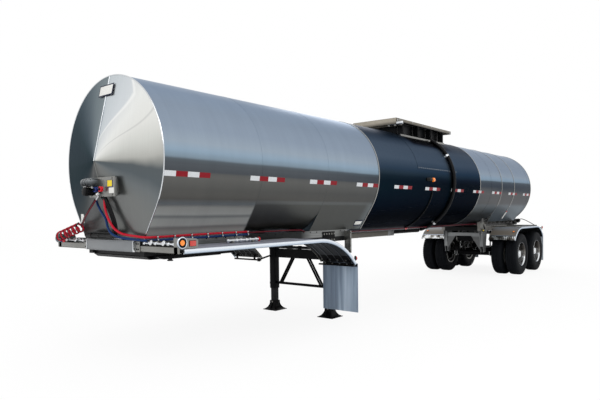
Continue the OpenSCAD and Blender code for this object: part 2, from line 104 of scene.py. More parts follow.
def makeLight():
    scene = bpy.context.scene
    scene.view_settings.view_transform = "Standard"
    world = bpy.data.worlds.new("studio")
    scene.world = world
    world.use_nodes = True
    world.node_tree.nodes["Background"].inputs["Color"].default_value = (1.0, 1.0, 1.0, 1)
    world.node_tree.nodes["Background"].inputs["Strength"].default_value = 1.0
    lamps = [("keyLamp", (7, 9, 9), 6, 260), ("frontLamp", (14, 1, 7), 5, 120), ("rearLamp", (-12, -8, 9), 6, 200)]
    for name, place, size, power in lamps:
        data = bpy.data.lights.new(name, "AREA")
        data.size, data.energy = size, power
        lamp = bpy.data.objects.new(name, data)
        lamp.location = place
        lamp.rotation_euler = (Vector((0, 0, 1.5)) - Vector(place)).to_track_quat("-Z", "Y").to_euler()
        scene.collection.objects.link(lamp)


# shader maths: arithmetic on a wire adds Math nodes

class Wire:
    def __init__(self, tree, socket):
        self.tree, self.socket = tree, socket

    def math(self, operation, other=0.0, flip=False):
        node = self.tree.nodes.new("ShaderNodeMath")
        node.operation = operation
        for socket, value in zip(node.inputs, (other, self) if flip else (self, other)):
            plug(self.tree, socket, value)
        return Wire(self.tree, node.outputs[0])

    def __add__(self, other): return self.math("ADD", other)
    def __radd__(self, other): return self.math("ADD", other, True)
    def __sub__(self, other): return self.math("SUBTRACT", other)
    def __rsub__(self, other): return self.math("SUBTRACT", other, True)
    def __mul__(self, other): return self.math("MULTIPLY", other)
    def __rmul__(self, other): return self.math("MULTIPLY", other, True)
    def __truediv__(self, other): return self.math("DIVIDE", other)
    def __pow__(self, other): return self.math("POWER", other)


def plug(tree, socket, value):
    if isinstance(value, Wire):
        tree.links.new(value.socket, socket)
    else:
        socket.default_value = value


class Finish:
    def __init__(self, name, **fixed):
        self.material = bpy.data.materials.new(name)
        self.material.use_nodes = True
        self.tree = self.material.node_tree
        self.tree.nodes.clear()
        output = self.tree.nodes.new("ShaderNodeOutputMaterial")
        self.shader = self.tree.nodes.new("ShaderNodeBsdfPrincipled")
        self.tree.links.new(self.shader.outputs[0], output.inputs[0])
        for key, value in fixed.items():
            self.shader.inputs[key.replace("_", " ")].default_value = value
        coordinates = self.tree.nodes.new("ShaderNodeTexCoord")
        self.place = Wire(self.tree, coordinates.outputs["Object"])
        self.normal = Wire(self.tree, coordinates.outputs["Normal"])

    def node(self, kind, settings=None, inputs=None, pick=0):
        node = self.tree.nodes.new("ShaderNode" + kind)
        for key, value in (settings or {}).items():
            if key == "stops":
                ramp = node.color_ramp
                while len(ramp.elements) < len(value):
                    ramp.elements.new(0.5)
                for element, (position, colour) in zip(ramp.elements, value):
                    element.position, element.color = position, colour
            else:
                setattr(node, key, value)
        for key, value in (inputs or {}).items():
            plug(self.tree, node.inputs[key], value)
        return Wire(self.tree, node.outputs[pick])

    def split(self, vector):
        return [self.node("SeparateXYZ", inputs={0: vector}, pick=k) for k in range(3)]

    def stretch(self, scale):
        return self.node("Mapping", inputs={"Vector": self.place, "Scale": scale})

    def limit(self, value):    # held between 0 and 1
        return value.math("MAXIMUM", 0.0).math("MINIMUM", 1.0)

    def noise(self, scale, detail=3.0, vector=None, rough=0.5):
        return self.node("TexNoise", inputs={"Vector": vector or self.place, "Scale": scale, "Detail": detail,
            "Roughness": rough})

    def ramp(self, value, stops):
        return self.node("ValToRGB", {"stops": stops}, {0: value})

    def banded(self, height, shades):    # painted light and shade by how far up the surface faces, -1 to 1
        return self.ramp(height * 0.5 + 0.5, [((up + 1) / 2, tone(*shade)) for up, *shade in shades])

    def mix(self, factor, first, second, blend="MIX"):
        return self.node("Mix", {"data_type": "RGBA", "blend_type": blend}, {0: factor, 6: first, 7: second}, 2)

    def bump(self, height, strength, distance):
        return self.node("Bump", inputs={"Height": height, "Strength": strength, "Distance": distance})

    def grain(self, scale):
        return self.bump(self.noise(scale, 2.0), 0.25, 0.0006)

    def feed(self, **links):
        for key, value in links.items():
            plug(self.tree, self.shader.inputs[key.replace("_", " ")], value)
        return self.material


def plainFinish(name, colour, rough, metal=0.0, tint=0.16, grain=6.0, dust=0.0, fine=160.0, depth=0.0006, coat=0.0,
        shine=0.5):
    # the common finish: blotchy tint, uneven gloss, a fine surface grain and some road dust low down
    f = Finish(name, Metallic=metal, Coat_Weight=coat, Specular_IOR_Level=shine)
    blotch = f.noise(grain, 5.0)
    base = f.mix(blotch, shaded(colour, 1 - tint), shaded(colour, 1 + tint))
    if dust:
        up = f.split(f.place)[2]
        low = (1.5 - up).math("MAXIMUM", 0.0) * (f.noise(3.0, 6.0) * dust)
        base = f.mix(low.math("MINIMUM", 0.6), base, tone(120, 112, 100))
    spread = f.noise(fine, 2.0)
    return f.feed(Base_Color=base, Roughness=rough + (blotch - 0.5) * 0.18, Normal=f.bump(spread, 0.25, depth))


def jacketFinish():
    # brushed stainless with painted reflections of the sky, the skyline and the ground as soft bands by which way it
    # faces
    shades = [(-1.0, 30, 33, 36), (-0.9, 42, 45, 47), (-0.82, 64, 67, 69), (-0.72, 78, 80, 80), (-0.6, 112, 117, 118),
        (-0.5, 115, 120, 121), (-0.44, 84, 83, 80), (-0.32, 80, 80, 78), (-0.16, 90, 90, 88), (-0.115, 84, 84, 82),
        (-0.09, 62, 66, 71), (0.0, 60, 66, 72), (0.045, 72, 82, 89), (0.075, 128, 148, 163), (0.13, 138, 159, 177),
        (0.22, 146, 159, 172), (0.36, 136, 149, 165), (0.6, 133, 146, 162), (0.82, 136, 151, 170),
        (1.0, 168, 182, 198)]
    f = Finish("jacketSteel", Specular_Tint=edgeTint)
    x, z = f.split(f.place)[::2]
    up = f.split(f.normal)[2]
    near = (1.0 - up.math("ABSOLUTE") * 2.0).math("MAXIMUM", 0.0)
    skyline = (x * 0.021 + 0.0135).math("MINIMUM", 0.065)
    height = up + (skyline + (f.noise(0.9, 2.0) - 0.5) * 0.03) * near
    base = f.banded(height, shades)
    # painted reflection of the front deck on the flank above it
    deckReflectionStops = [(0, 160, 160, 156), (0.22, 150, 151, 148), (0.34, 110, 112, 111), (0.42, 150, 152, 149),
        (0.58, 140, 142, 139), (0.66, 104, 107, 107), (0.74, 142, 144, 141), (0.9, 130, 131, 128), (1, 100, 100, 97)]
    mirrored = f.ramp((z - 1.3) / 0.38 + (f.noise(1.0, 2.0, f.stretch((0.8, 1, 6))) - 0.5) * 0.1,
        [(a, tone(*shade)) for a, *shade in deckReflectionStops])
    flank = f.limit((x - 4.54) * 40.0) * f.limit((-0.5 - up) * 30.0) * f.limit((up + 0.6) * 30.0)
    base = f.mix(flank, base, mirrored)
    # painted shade on the downward-facing lower jacket in front, near black where it faces straight down
    paintedLowShade = f.limit((-0.46 - up) * 20.0) * f.limit((x - 1.9) * 5.0) * (1.0 - f.limit((x - 4.54) * 40.0))
    base = f.mix(paintedLowShade * 0.85, base, tone(80, 79, 74))
    base = f.mix(f.limit((-0.84 - up) * 12.0) * f.limit((x - 1.9) * 5.0) * 0.8, base, tone(30, 32, 36))
    # painted reflection of the ground, warmer and darker towards the rear
    low = f.limit((-0.1 - up) * 12.0) * f.limit((-1.6 - x) * 0.5) * f.limit((up + 0.55) * 9.0)
    base = f.mix(low * 0.45, base, tone(100, 93, 86))
    # painted horizon reflection: a dark band on level-facing sheet at the rear, a grey one at the front
    paintedHorizonMask = f.limit(1.25 - (up + 0.05).math("ABSOLUTE") * 8.0)
    base = f.mix(paintedHorizonMask * f.limit((-1.6 - x) * 0.5) * 0.72, base, tone(22, 28, 36))
    base = f.mix(paintedHorizonMask * f.limit((x - 1.6) * 0.5) * 0.35, base, tone(100, 104, 108))
    brushed = f.noise(1.0, 3.0, f.stretch((170.0, 2.2, 2.2)))
    soft = f.noise(1.0, 2.0, f.stretch((9.0, 0.8, 0.8)))
    base = f.mix(brushed, base, (1.22, 1.22, 1.22, 1), "MULTIPLY")
    base = f.mix((brushed * 0.35 + soft * 0.65 - 0.3) * 0.42, base, (0.55, 0.56, 0.58, 1), "MULTIPLY")
    bend = f.noise(1.3, 1.0) * 0.6 + f.noise(1.0, 1.0, f.stretch((300.0, 6.0, 6.0))) * 0.02
    return f.feed(Base_Color=base, Metallic=0.9 - flank * 0.75, Roughness=0.24 + brushed * 0.16,
        Normal=f.bump(bend, 0.25, 0.012))


def headFinish():
    # the same sheet on the coned head, where bands of painted reflection run to the point
    shades = [(0, 38, 46, 47), (15, 39, 47, 48), (30, 58, 61, 63), (45, 82, 83, 82), (60, 108, 107, 106),
        (75, 96, 96, 95), (88, 104, 106, 105), (105, 110, 110, 108), (122, 118, 119, 118), (140, 118, 120, 119),
        (152, 110, 115, 117), (163, 90, 97, 101), (172, 90, 96, 99), (177, 150, 151, 147), (181, 180, 180, 175),
        (195, 208, 209, 204), (212, 228, 228, 224), (228, 235, 236, 233), (246, 226, 228, 228), (268, 214, 219, 219),
        (271, 138, 147, 150), (285, 128, 137, 141), (300, 104, 113, 119), (315, 80, 89, 95), (330, 57, 66, 69),
        (345, 49, 55, 59), (360, 44, 51, 53)]
    f = Finish("headSteel", Metallic=0.9, Specular_Tint=(0.38, 0.42, 0.45, 1))
    y, z = f.split(f.place)[1:]
    reach = ((z - tank["middle"]) * (z - tank["middle"]) + y * y).math("SQRT")
    turn = (z - tank["middle"]).math("ARCTAN2", y)
    calm = ((turn - pi / 2).math("ABSOLUTE") * 2.5).math("MINIMUM", 1.0) * (reach * 1.2).math("MINIMUM", 1.0)
    swirl = turn / (2 * pi) + 0.5 + (f.noise(2.2, 2.0) - 0.5) * 0.045 * calm
    # painted reflections: light and shade by angle round the point, brightest on the upper left quarter
    base = f.ramp(swirl.math("FRACT"), [(a / 360, tone(*shade)) for a, *shade in shades])
    # painted highlights: two soft folds of light fan out from the point on the lit side, a bright one with a paler
    # band beyond it and a darker painted reflection line
    degrees = turn * (180 / pi)
    lit = f.limit((y - 0.004) * 200.0) * f.limit((z - tank["middle"]) * 20.0)
    fold = degrees - 54.0 - (reach - 0.82) * (reach - 0.82) * 90.0 - f.limit((reach - 0.84) * 6.0) * 12.0
    darkReflectionLine = degrees - 30.0 - (reach - 0.75) * (reach - 0.75) * 50.0
    base = f.mix(lit * f.limit(fold * 0.5) * 0.55, base, tone(205, 212, 218))
    base = f.mix(lit * f.limit(1.0 - fold.math("ABSOLUTE") * 0.36) * 0.7, base, tone(252, 252, 250))
    base = f.mix(lit * f.limit(1.0 - darkReflectionLine.math("ABSOLUTE") * 0.7) * 0.45, base, tone(176, 178, 176))
    grain = f.noise(1.0, 3.0, f.stretch((2.0, 60.0, 2.4)))
    base = f.mix(grain * 0.3, base, (0.72, 0.73, 0.74, 1), "MULTIPLY")
    return f.feed(Base_Color=base, Roughness=0.24 + grain * 0.14, Normal=f.bump(f.noise(1.6, 1.0), 0.3, 0.012))


def bandFinish():
    # painted reflections on the dark band, as tones by which way the paint faces
    shades = [(-1.0, 10, 18, 26), (-0.7, 12, 24, 34), (-0.5, 18, 32, 42), (-0.3, 20, 35, 43), (-0.16, 20, 36, 43),
        (-0.06, 22, 36, 44), (0.02, 33, 45, 53), (0.08, 48, 60, 70), (0.16, 56, 70, 86), (0.35, 82, 95, 110),
        (0.6, 86, 98, 112), (0.8, 56, 66, 78), (1.0, 64, 72, 84)]
    f = Finish("bandPaint", Metallic=0.96, Specular_Tint=(0.33, 0.34, 0.37, 1))
    x = f.split(f.place)[0]
    up = f.split(f.normal)[2]
    height = up + x * 0.008 + (f.noise(0.8, 2.0) - 0.5) * 0.05
    base = f.banded(height, shades)
    # painted shadow under the walkway
    shade = f.limit((up - 0.66) * 14.0) * f.limit((0.36 - x) * 5.0) * f.limit((x + 1.55) * 3.0)
    base = f.mix(shade * 0.95, base, tone(3, 5, 8))
    film = f.noise(14.0, 5.0)
    base = f.mix(film * 0.03, base, tone(70, 78, 88))
    return f.feed(Base_Color=base, Roughness=0.28 + film * 0.14, Normal=f.bump(f.noise(1.1, 1.0), 0.2, 0.01))


def tapeFinish(name, colour, worn):
    # prismatic tape: small cells under a clear skin
    f = Finish(name, Specular_IOR_Level=0.12)
    cell = f.node("TexVoronoi", inputs={"Vector": f.place, "Scale": 260.0})
    base = f.mix(cell * 0.9, colour, shaded(colour, 0.72))
    base = f.mix(f.noise(8.0, 4.0) * worn, base, tone(150, 146, 140))
    return f.feed(Base_Color=base, Roughness=0.3 + cell * 0.2, Normal=f.bump(cell, 0.3, 0.0004))


def tyreFinish():
    f = Finish("treadRubber", Specular_IOR_Level=0.1)
    scuff = f.noise(22.0, 6.0)
    fine = f.noise(300.0, 2.0)
    base = f.mix(scuff, tone(3, 4, 6), tone(22, 25, 30))
    return f.feed(Base_Color=base, Roughness=0.62 + scuff * 0.25, Normal=f.bump(fine, 0.3, 0.0006))


def sheetFinish(name, shades, rough=0.22, metal=0.92):
    # bright rolled sheet, with painted light and shade banded by which way it faces
    f = Finish(name, Metallic=metal, Specular_Tint=edgeTint)
    height = f.split(f.normal)[2] + (f.noise(2.0, 2.0) - 0.5) * 0.1
    base = f.banded(height, shades)
    brushed = f.noise(1.0, 3.0, f.stretch((4.0, 120.0, 120.0)))
    base = f.mix(brushed * 0.3, base, (0.7, 0.71, 0.72, 1), "MULTIPLY")
    return f.feed(Base_Color=base, Roughness=rough + brushed * 0.15, Normal=f.bump(f.noise(3.0, 2.0), 0.2, 0.006))


def lensFinish(name, colour, glow):
    f = Finish(name, Roughness=0.12, Coat_Weight=0.8, Transmission_Weight=0.15)
    rings = f.noise(60.0, 2.0)
    base = f.mix(rings, colour, shaded(colour, 1.4))
    # a faint painted glow on every lens and reflector
    f.shader.inputs["Emission Strength"].default_value = glow
    return f.feed(Base_Color=base, Emission_Color=base, Normal=f.bump(f.noise(180.0, 1.0), 0.4, 0.0006))


def quiltFinish():
    # stainless pressed into small diamonds, with painted patches of reflection that run dark to near white
    f = Finish("quiltedSheet", Metallic=0.95)
    y, z = f.split(f.place)[1:]
    cell = (y * 68.0 + z * 68.0).math("SINE") * (y * 68.0 - z * 68.0).math("SINE")
    paintedSheen = f.ramp(f.noise(1.0, 3.0, f.stretch((5.0, 9.0, 14.0))),
        [(0.36, tone(74, 70, 66)), (0.5, tone(160, 158, 154)), (0.6, tone(236, 239, 241))])
    return f.feed(Base_Color=paintedSheen, Roughness=0.14 + f.noise(40.0, 2.0) * 0.1, Normal=f.bump(cell, 0.8, 0.004))


def frameFinish():
    # bare aluminium side rail above, black subframe below
    f = Finish("frameRail", Specular_IOR_Level=0.15)
    x, z = f.split(f.place)[::2]
    above = f.limit((z - 1.208) * 400.0)
    scratch = f.noise(1.0, 5.0, f.stretch((3.0, 24.0, 60.0)))
    blotch = f.noise(7.0, 4.0)
    bare = f.mix(scratch, tone(92, 93, 92), tone(150, 152, 152))
    # painted shade on the bare rail between stations 1.43 and 2.85, under the tank
    shade = f.limit((4.54 - x) * 12.0) * f.limit((x - 3.12) * 4.0)
    bare = f.mix(shade * 0.94, bare, tone(16, 18, 20))
    paint = f.mix(blotch, tone(5, 6, 8), tone(18, 19, 21))
    return f.feed(Base_Color=f.mix(above, paint, bare), Metallic=above * 0.85,
        Roughness=0.44 - above * 0.08 + (blotch - 0.5) * 0.18, Normal=f.grain(150.0))


def deckFinish():
    # bare tread plate: tan where it faces front or up, painted shade on the side faces and near black painted shade
    # on faces below
    f = Finish("deckAluminium", Metallic=0.6)
    y, z = f.split(f.normal)[1:]
    worn = f.noise(6.0, 5.0)
    base = f.mix(f.limit(y.math("ABSOLUTE") * 1.2), f.mix(worn, tone(150, 142, 128), tone(182, 175, 162)),
        f.mix(worn, tone(92, 88, 80), tone(134, 128, 117)))
    base = f.mix(f.limit(z * -4.0), base, tone(16, 17, 19))
    return f.feed(Base_Color=base, Roughness=0.4 + worn * 0.12, Normal=f.grain(120.0))


def flapFinish():
    # pale plastic with pressed ribs, streaked downwards
    f = Finish("flapPlastic", Specular_IOR_Level=0.2)
    y = f.split(f.place)[1]
    streak = f.noise(1.0, 4.0, f.stretch((1.0, 14.0, 0.7)))
    wide = f.noise(1.0, 2.0, f.stretch((1.0, 4.5, 0.5)))
    base = f.ramp(streak * 0.45 + wide * 0.55 + (y.math("ABSOLUTE") - 0.9) * 0.22,
        [(0.3, tone(92, 106, 124)), (0.45, tone(116, 131, 149)), (0.53, tone(146, 162, 180)),
        (0.66, tone(182, 196, 212))])
    base = f.mix(f.limit((-5.0 - f.split(f.place)[0]) * 9.0) * 0.7, base, tone(190, 198, 204))
    low = (0.5 - f.split(f.place)[2]).math("MAXIMUM", 0.0) * f.noise(9.0, 5.0) * 0.5
    return f.feed(Base_Color=f.mix(low, base, tone(110, 106, 98)), Roughness=0.45 + streak * 0.15,
        Normal=f.bump(streak, 0.3, 0.002))


def rearFrameFinish(name, colour, low):
    # bare metal on the outside, in shade between the two rails
    f = Finish(name, Metallic=0.7)
    x, y, z = f.split(f.place)
    blotch = f.noise(8.0, 5.0)
    base = f.mix(blotch, shaded(colour, 0.72), shaded(colour, 1.25))
    # painted shade between the rails: near black above low, a lighter grey below 0.955
    inside = f.limit((0.4195 - y.math("ABSOLUTE")) * 400.0)
    base = f.mix(inside * f.limit((z - low) * 60.0), base, tone(10, 11, 13))
    base = f.mix(inside * f.limit((0.955 - z) * 60.0) * 0.6, base, tone(60, 60, 60))
    # painted shade on the top of the rear frame behind station 9.83
    base = f.mix(f.limit((z - 1.195) * 60.0) * f.limit((-3.86 - x) * 30.0) * 0.9, base, tone(18, 18, 20))
    return f.feed(Base_Color=base, Roughness=0.38 + blotch * 0.14, Normal=f.grain(160.0))


def floorFinish():
    f = Finish("floorPaint", Roughness=0.8, Specular_IOR_Level=0.1)
    pale = f.mix(f.noise(0.6, 3.0), tone(248, 248, 248), tone(253, 253, 253))
    f.feed(Base_Color=pale)
    glow = f.node("Emission", inputs={"Color": (1, 1, 1, 1), "Strength": 1.0})
    seen = f.node("LightPath", pick=0) * 0.88
    both = f.node("MixShader", inputs={0: seen, 1: Wire(f.tree, f.shader.outputs[0]), 2: glow})
    f.tree.links.new(both.socket, f.tree.nodes["Material Output"].inputs[0])
    return f.material


makeCamera()
makeLight()
look = dict(jacket=jacketFinish(), head=headFinish(), band=bandFinish(), tyre=tyreFinish(),
    tapeWhite=tapeFinish("tapeWhite", tone(216, 220, 224), 0.25),
    tapeRed=tapeFinish("tapeRed", tone(134, 2, 24), 0.04), trim=plainFinish("brightTrim", tone(206, 209, 212), 0.16,
    1.0, 0.08, 9.0), chrome=plainFinish("chromeFittings", tone(214, 217, 220), 0.1, 1.0, 0.1, 30.0),
    mill=plainFinish("millAluminium", tone(134, 134, 131), 0.36, 0.9, 0.22, 7.0, 0.15), deckMill=deckFinish(),
    steel=plainFinish("brightSteel", tone(186, 188, 189), 0.22, 1.0, 0.14, 12.0),
    black=plainFinish("blackPaint", tone(7, 8, 11), 0.4, 0.0, 0.28, 9.0, 0.02, shine=0.06),
    darkSteel=plainFinish("greasedSteel", tone(40, 40, 41), 0.4, 1.0, 0.25, 25.0),
    rubber=plainFinish("hoseRubber", tone(6, 7, 9), 0.46, 0.0, 0.3, 20.0, shine=0.14), flap=flapFinish(),
    redPaint=plainFinish("redFitting", tone(190, 10, 30), 0.32, 0.0, 0.14, 30.0, shine=0.3),
    bluePaint=plainFinish("blueFitting", tone(10, 34, 96), 0.32, 0.0, 0.14, 30.0, shine=0.3),
    redLine=plainFinish("redLine", tone(172, 8, 36), 0.38, 0.0, 0.14, 24.0, shine=0.2),
    # the red line painted darker for the shade it runs in
    shadowedRed=plainFinish("shadedRedLine", tone(92, 6, 26), 0.42, 0.0, 0.14, 24.0, shine=0.15),
    blueLine=plainFinish("blueLine", tone(8, 42, 88), 0.38, 0.0, 0.14, 24.0, shine=0.15),
    amber=lensFinish("amberLens", tone(238, 120, 16), 0.25), red=lensFinish("redLens", tone(200, 34, 22), 0.2),
    yellowTag=plainFinish("yellowTag", tone(222, 196, 26), 0.5, 0.0, 0.06, 9.0),
    whiteTag=plainFinish("whiteTag", tone(214, 214, 210), 0.5, 0.0, 0.05, 9.0),
    # the rolled sheet, lip, rim, guard and cast finishes carry painted light and shade by which way they face
    sheet=sheetFinish("rolledSheet", [(-1, 34, 36, 38), (-0.5, 60, 62, 64), (-0.1, 112, 114, 116),
    (0.15, 150, 156, 162), (0.5, 150, 158, 168), (1, 158, 160, 172)], 0.4, 0.35),
    lip=sheetFinish("lipSheet", [(-1, 80, 86, 94), (-0.5, 132, 144, 158), (-0.12, 190, 203, 218),
    (0.12, 238, 243, 249), (0.5, 224, 232, 241), (0.8, 150, 156, 168), (1, 132, 137, 147)], 0.16),
    rim=sheetFinish("polishedRim", [(-1, 66, 62, 58), (-0.35, 88, 84, 80), (-0.1, 128, 125, 122),
    (0.05, 112, 109, 106), (0.22, 150, 149, 148), (0.36, 232, 235, 238), (1, 244, 246, 248)], 0.12),
    guardFace=sheetFinish("guardSheet", [(-1, 10, 11, 13), (-0.5, 14, 15, 17), (0.0, 80, 78, 76), (0.5, 112, 106, 99),
    (0.85, 124, 117, 108), (0.96, 140, 142, 146), (1, 160, 168, 178)], 0.42, 0.35),
    rib=plainFinish("guardRib", tone(96, 100, 104), 0.3, 0.9, 0.15, 12.0), quilt=quiltFinish(), frame=frameFinish(),
    floor=floorFinish(), jacketBand=plainFinish("jacketBandSteel", tone(150, 150, 148), 0.26, 1.0, 0.12, 9.0),
    rearHead=plainFinish("rearHeadSteel", tone(142, 148, 154), 0.24, 0.95, 0.12, 1.4),
    bumperFace=plainFinish("bumperAluminium", tone(128, 131, 134), 0.38, 0.7, 0.14, 9.0),
    hanger=rearFrameFinish("hangerAluminium", tone(132, 134, 135), 1.045),
    rearRail=rearFrameFinish("rearRail", tone(128, 126, 122), 1.0),
    # aluminium painted dark for the shade it lies in
    shadowedMill=plainFinish("shadedAluminium", tone(22, 23, 26), 0.42, 0.8, 0.3, 9.0),
    cast=sheetFinish("castGrey", [(-1, 24, 26, 28), (-0.4, 44, 47, 49), (0.0, 88, 92, 94), (0.35, 124, 128, 130),
    (0.8, 150, 152, 152), (1, 166, 167, 165)], 0.5, 0.3), label=plainFinish("bareLabel", tone(40, 44, 62), 0.5, 0.0,
    0.06, 9.0, shine=0.1), tubeMill=plainFinish("weatheredTube", tone(104, 101, 94), 0.42, 0.6, 0.25, 7.0),
    redReflector=lensFinish("redReflector", tone(176, 34, 20), 0.1))
print("finishes:", len(look))


# mesh making

def curved(points, steps=6):   # a smooth line through the points
    points = [Vector(p) for p in points]
    ends = [2 * points[0] - points[1]] + points + [2 * points[-1] - points[-2]]
    line = []
    for a, b, c, d in zip(ends, ends[1:], ends[2:], ends[3:]):
        for k in range(steps):
            t = k / steps
            line.append(0.5 * (2 * b + (c - a) * t + (2 * a - 5 * b + 4 * c - d) * t * t + (3 * b - a - 3 * c + d)
                * t ** 3))
    return line + [points[-1]]


def turns(count, shift=0):    # the angles of equal steps round a circle
    return [2 * pi * (k + shift) / count for k in range(count)]


def upright(angle):    # a direction in the plane of a wheel
    return Vector((cos(angle), 0, sin(angle)))


def quads(rows, wide, loop=False):    # faces between rows of points, each row closed on itself
    return [(i * wide + k, i * wide + (k + 1) % wide, (i + 1) % rows * wide + (k + 1) % wide,
        (i + 1) % rows * wide + k) for i in range(rows if loop else rows - 1) for k in range(wide)]


def capped(rows, wide):    # the same, with the first and the last row filled
    return quads(rows, wide) + [list(range(wide)), list(range((rows - 1) * wide, rows * wide))]


class Piece:    # one visible piece being built; its methods take a finish by its name in look
    def __init__(self, name):
        self.name, self.mesh, self.finishes = name, bmesh.new(), []

    def shell(self, points, faces, finish):    # a closed skin
        if finish not in self.finishes:
            self.finishes.append(finish)
        verts = [self.mesh.verts.new(p) for p in points]
        made = [self.mesh.faces.new([verts[i] for i in face]) for face in faces]
        for face in made:
            face.material_index = self.finishes.index(finish)
            face.smooth = True
        bmesh.ops.recalc_face_normals(self.mesh, faces=made)

    def box(self, s, y, z, finish, edge=0.003, turn=None):
        self.slab(at((s[0] + s[1]) / 2, (y[0] + y[1]) / 2, (z[0] + z[1]) / 2),
            (s[1] - s[0], y[1] - y[0], z[1] - z[0]), finish, edge, turn)

    def slab(self, centre, size, finish, edge=0.003, turn=None):
        part = bmesh.new()
        bmesh.ops.create_cube(part, size=1.0)
        for vert in part.verts:
            vert.co = Vector([c * d for c, d in zip(vert.co, size)])
        if edge:
            bmesh.ops.bevel(part, geom=part.edges[:], offset=min(edge, min(size) * 0.35), segments=2, profile=0.5,
                affect="EDGES")
        for vert in part.verts:
            vert.co = Vector(centre) + (turn @ vert.co if turn else vert.co)
        self.absorb(part, finish)

    def absorb(self, part, finish):
        for index, vert in enumerate(part.verts):
            vert.index = index
        self.shell([v.co.copy() for v in part.verts], [[v.index for v in f.verts] for f in part.faces], finish)
        part.free()

    def prism(self, outline, low, high, axis, finish, edge=0.0):
        # axis "y": (station, height) outline; "s": (y, height) outline; "z": (station, y) outline
        place = {"y": lambda p, k: at(p[0], k, p[1]), "s": lambda p, k: at(k, p[0], p[1]), "z": lambda p,
            k: at(p[0], p[1], k)}[axis]
        count = len(outline)
        part = bmesh.new()
        verts = [part.verts.new(place(p, k)) for k in (low, high) for p in outline]
        part.faces.new(verts[:count])
        part.faces.new(verts[count:][::-1])
        for i in range(count):
            j = (i + 1) % count
            part.faces.new((verts[i], verts[j], verts[count + j], verts[count + i]))
        if edge:
            bmesh.ops.bevel(part, geom=part.edges[:], offset=edge, segments=2, profile=0.5, affect="EDGES",
                clamp_overlap=True)
        self.absorb(part, finish)

    def turned(self, profile, centre, axis, finish, steps=40, ring=False):
        axis = Vector(axis).normalized()
        side = axis.orthogonal().normalized()
        up = axis.cross(side)
        points, rows, faces = [], [], []
        for along, radius in profile:
            spread = 1 if radius < 1e-6 else steps
            rows.append(list(range(len(points), len(points) + spread)))
            for k in range(spread):
                a = 2 * pi * k / steps
                points.append(Vector(centre) + axis * along + (side * cos(a) + up * sin(a)) * radius)
        for a, b in zip(rows, rows[1:] + rows[:1] if ring else rows[1:]):
            for k in range(steps):
                j = (k + 1) % steps
                if len(a) == 1 and len(b) == 1:
                    continue
                if len(a) == 1:
                    faces.append((a[0], b[j], b[k]))
                elif len(b) == 1:
                    faces.append((a[k], a[j], b[0]))
                else:
                    faces.append((a[k], a[j], b[j], b[k]))
        if not ring:
            faces += [row for row in (rows[0], rows[-1]) if len(row) > 1]
        self.shell(points, faces, finish)

    def tube(self, line, radius, finish, sides=10, loop=False):
        line = [Vector(p) for p in line]
        count, points, side = len(line), [], None
        for i, p in enumerate(line):
            before = line[i - 1] if i or loop else p
            after = line[(i + 1) % count] if i < count - 1 or loop else p
            ahead = (after - before).normalized()
            side = ahead.orthogonal() if side is None else side - ahead * side.dot(ahead)
            side.normalize()
            up = ahead.cross(side)
            r = radius(i / max(1, count - 1)) if callable(radius) else radius
            points += [p + (side * cos(2 * pi * k / sides) + up * sin(2 * pi * k / sides)) * r for k in range(sides)]
        self.shell(points, quads(count, sides, True) if loop else capped(count, sides), finish)

    def bar(self, start, end, radius, finish, sides=14):
        self.tube([start, end], radius, finish, sides)

    def line(self, route, radius, finish, sides=10, steps=6):    # a smooth round line, through (station, y, z)
        self.tube(curved([at(*p) for p in route], steps), radius, finish, sides)

    def ribbon(self, path, section, finish):
        # path: (point, outward) pairs; section: (across, out) points of the closed cross-section
        points = [p + Vector((0, across, 0)) + out * lift for p, out in path for across, lift in section]
        self.shell(points, capped(len(path), len(section)), finish)

    def arcSheet(self, s, angles, radii, finish, steps=1):
        # a curved plate on the jacket, between two stations, angles and radii
        rows = [radians(angles[0] + (angles[1] - angles[0]) * k / steps) for k in range(steps + 1)]
        points = [at(st, r * cos(a), tank["middle"] + r * sin(a)) for a in rows for st,
            r in ((s[0], radii[0]), (s[0], radii[1]), (s[1], radii[1]), (s[1], radii[0]))]
        self.shell(points, capped(steps + 1, 4), finish)

    def tower(self, foot, levels, finish, corner):
        # a square column of (height, half width) levels with rounded corners
        points = []
        for height, half in levels:
            for turn, (sx, sy) in enumerate(((1, 1), (-1, 1), (-1, -1), (1, -1))):
                for k in range(4):
                    a = pi / 2 * turn + pi / 6 * k
                    points.append(foot + Vector((sx * (half - corner) + corner * cos(a),
                        sy * (half - corner) + corner * sin(a), height)))
        self.shell(points, capped(len(levels), 16), finish)

    def holedDisc(self, centre, side, reach, depth, holes, holeRadius, holeCircle, thick, finish):
        # a dished ring with round hand holes, sector by sector
        part, step = bmesh.new(), 2 * pi / holes
        steps = (-1, -0.5, 0, 0.5)
        square = [(u, -1) for u in steps] + [(1, v) for v in steps] + [(-u, 1) for u in steps] + [(-1, -v)
            for v in steps]

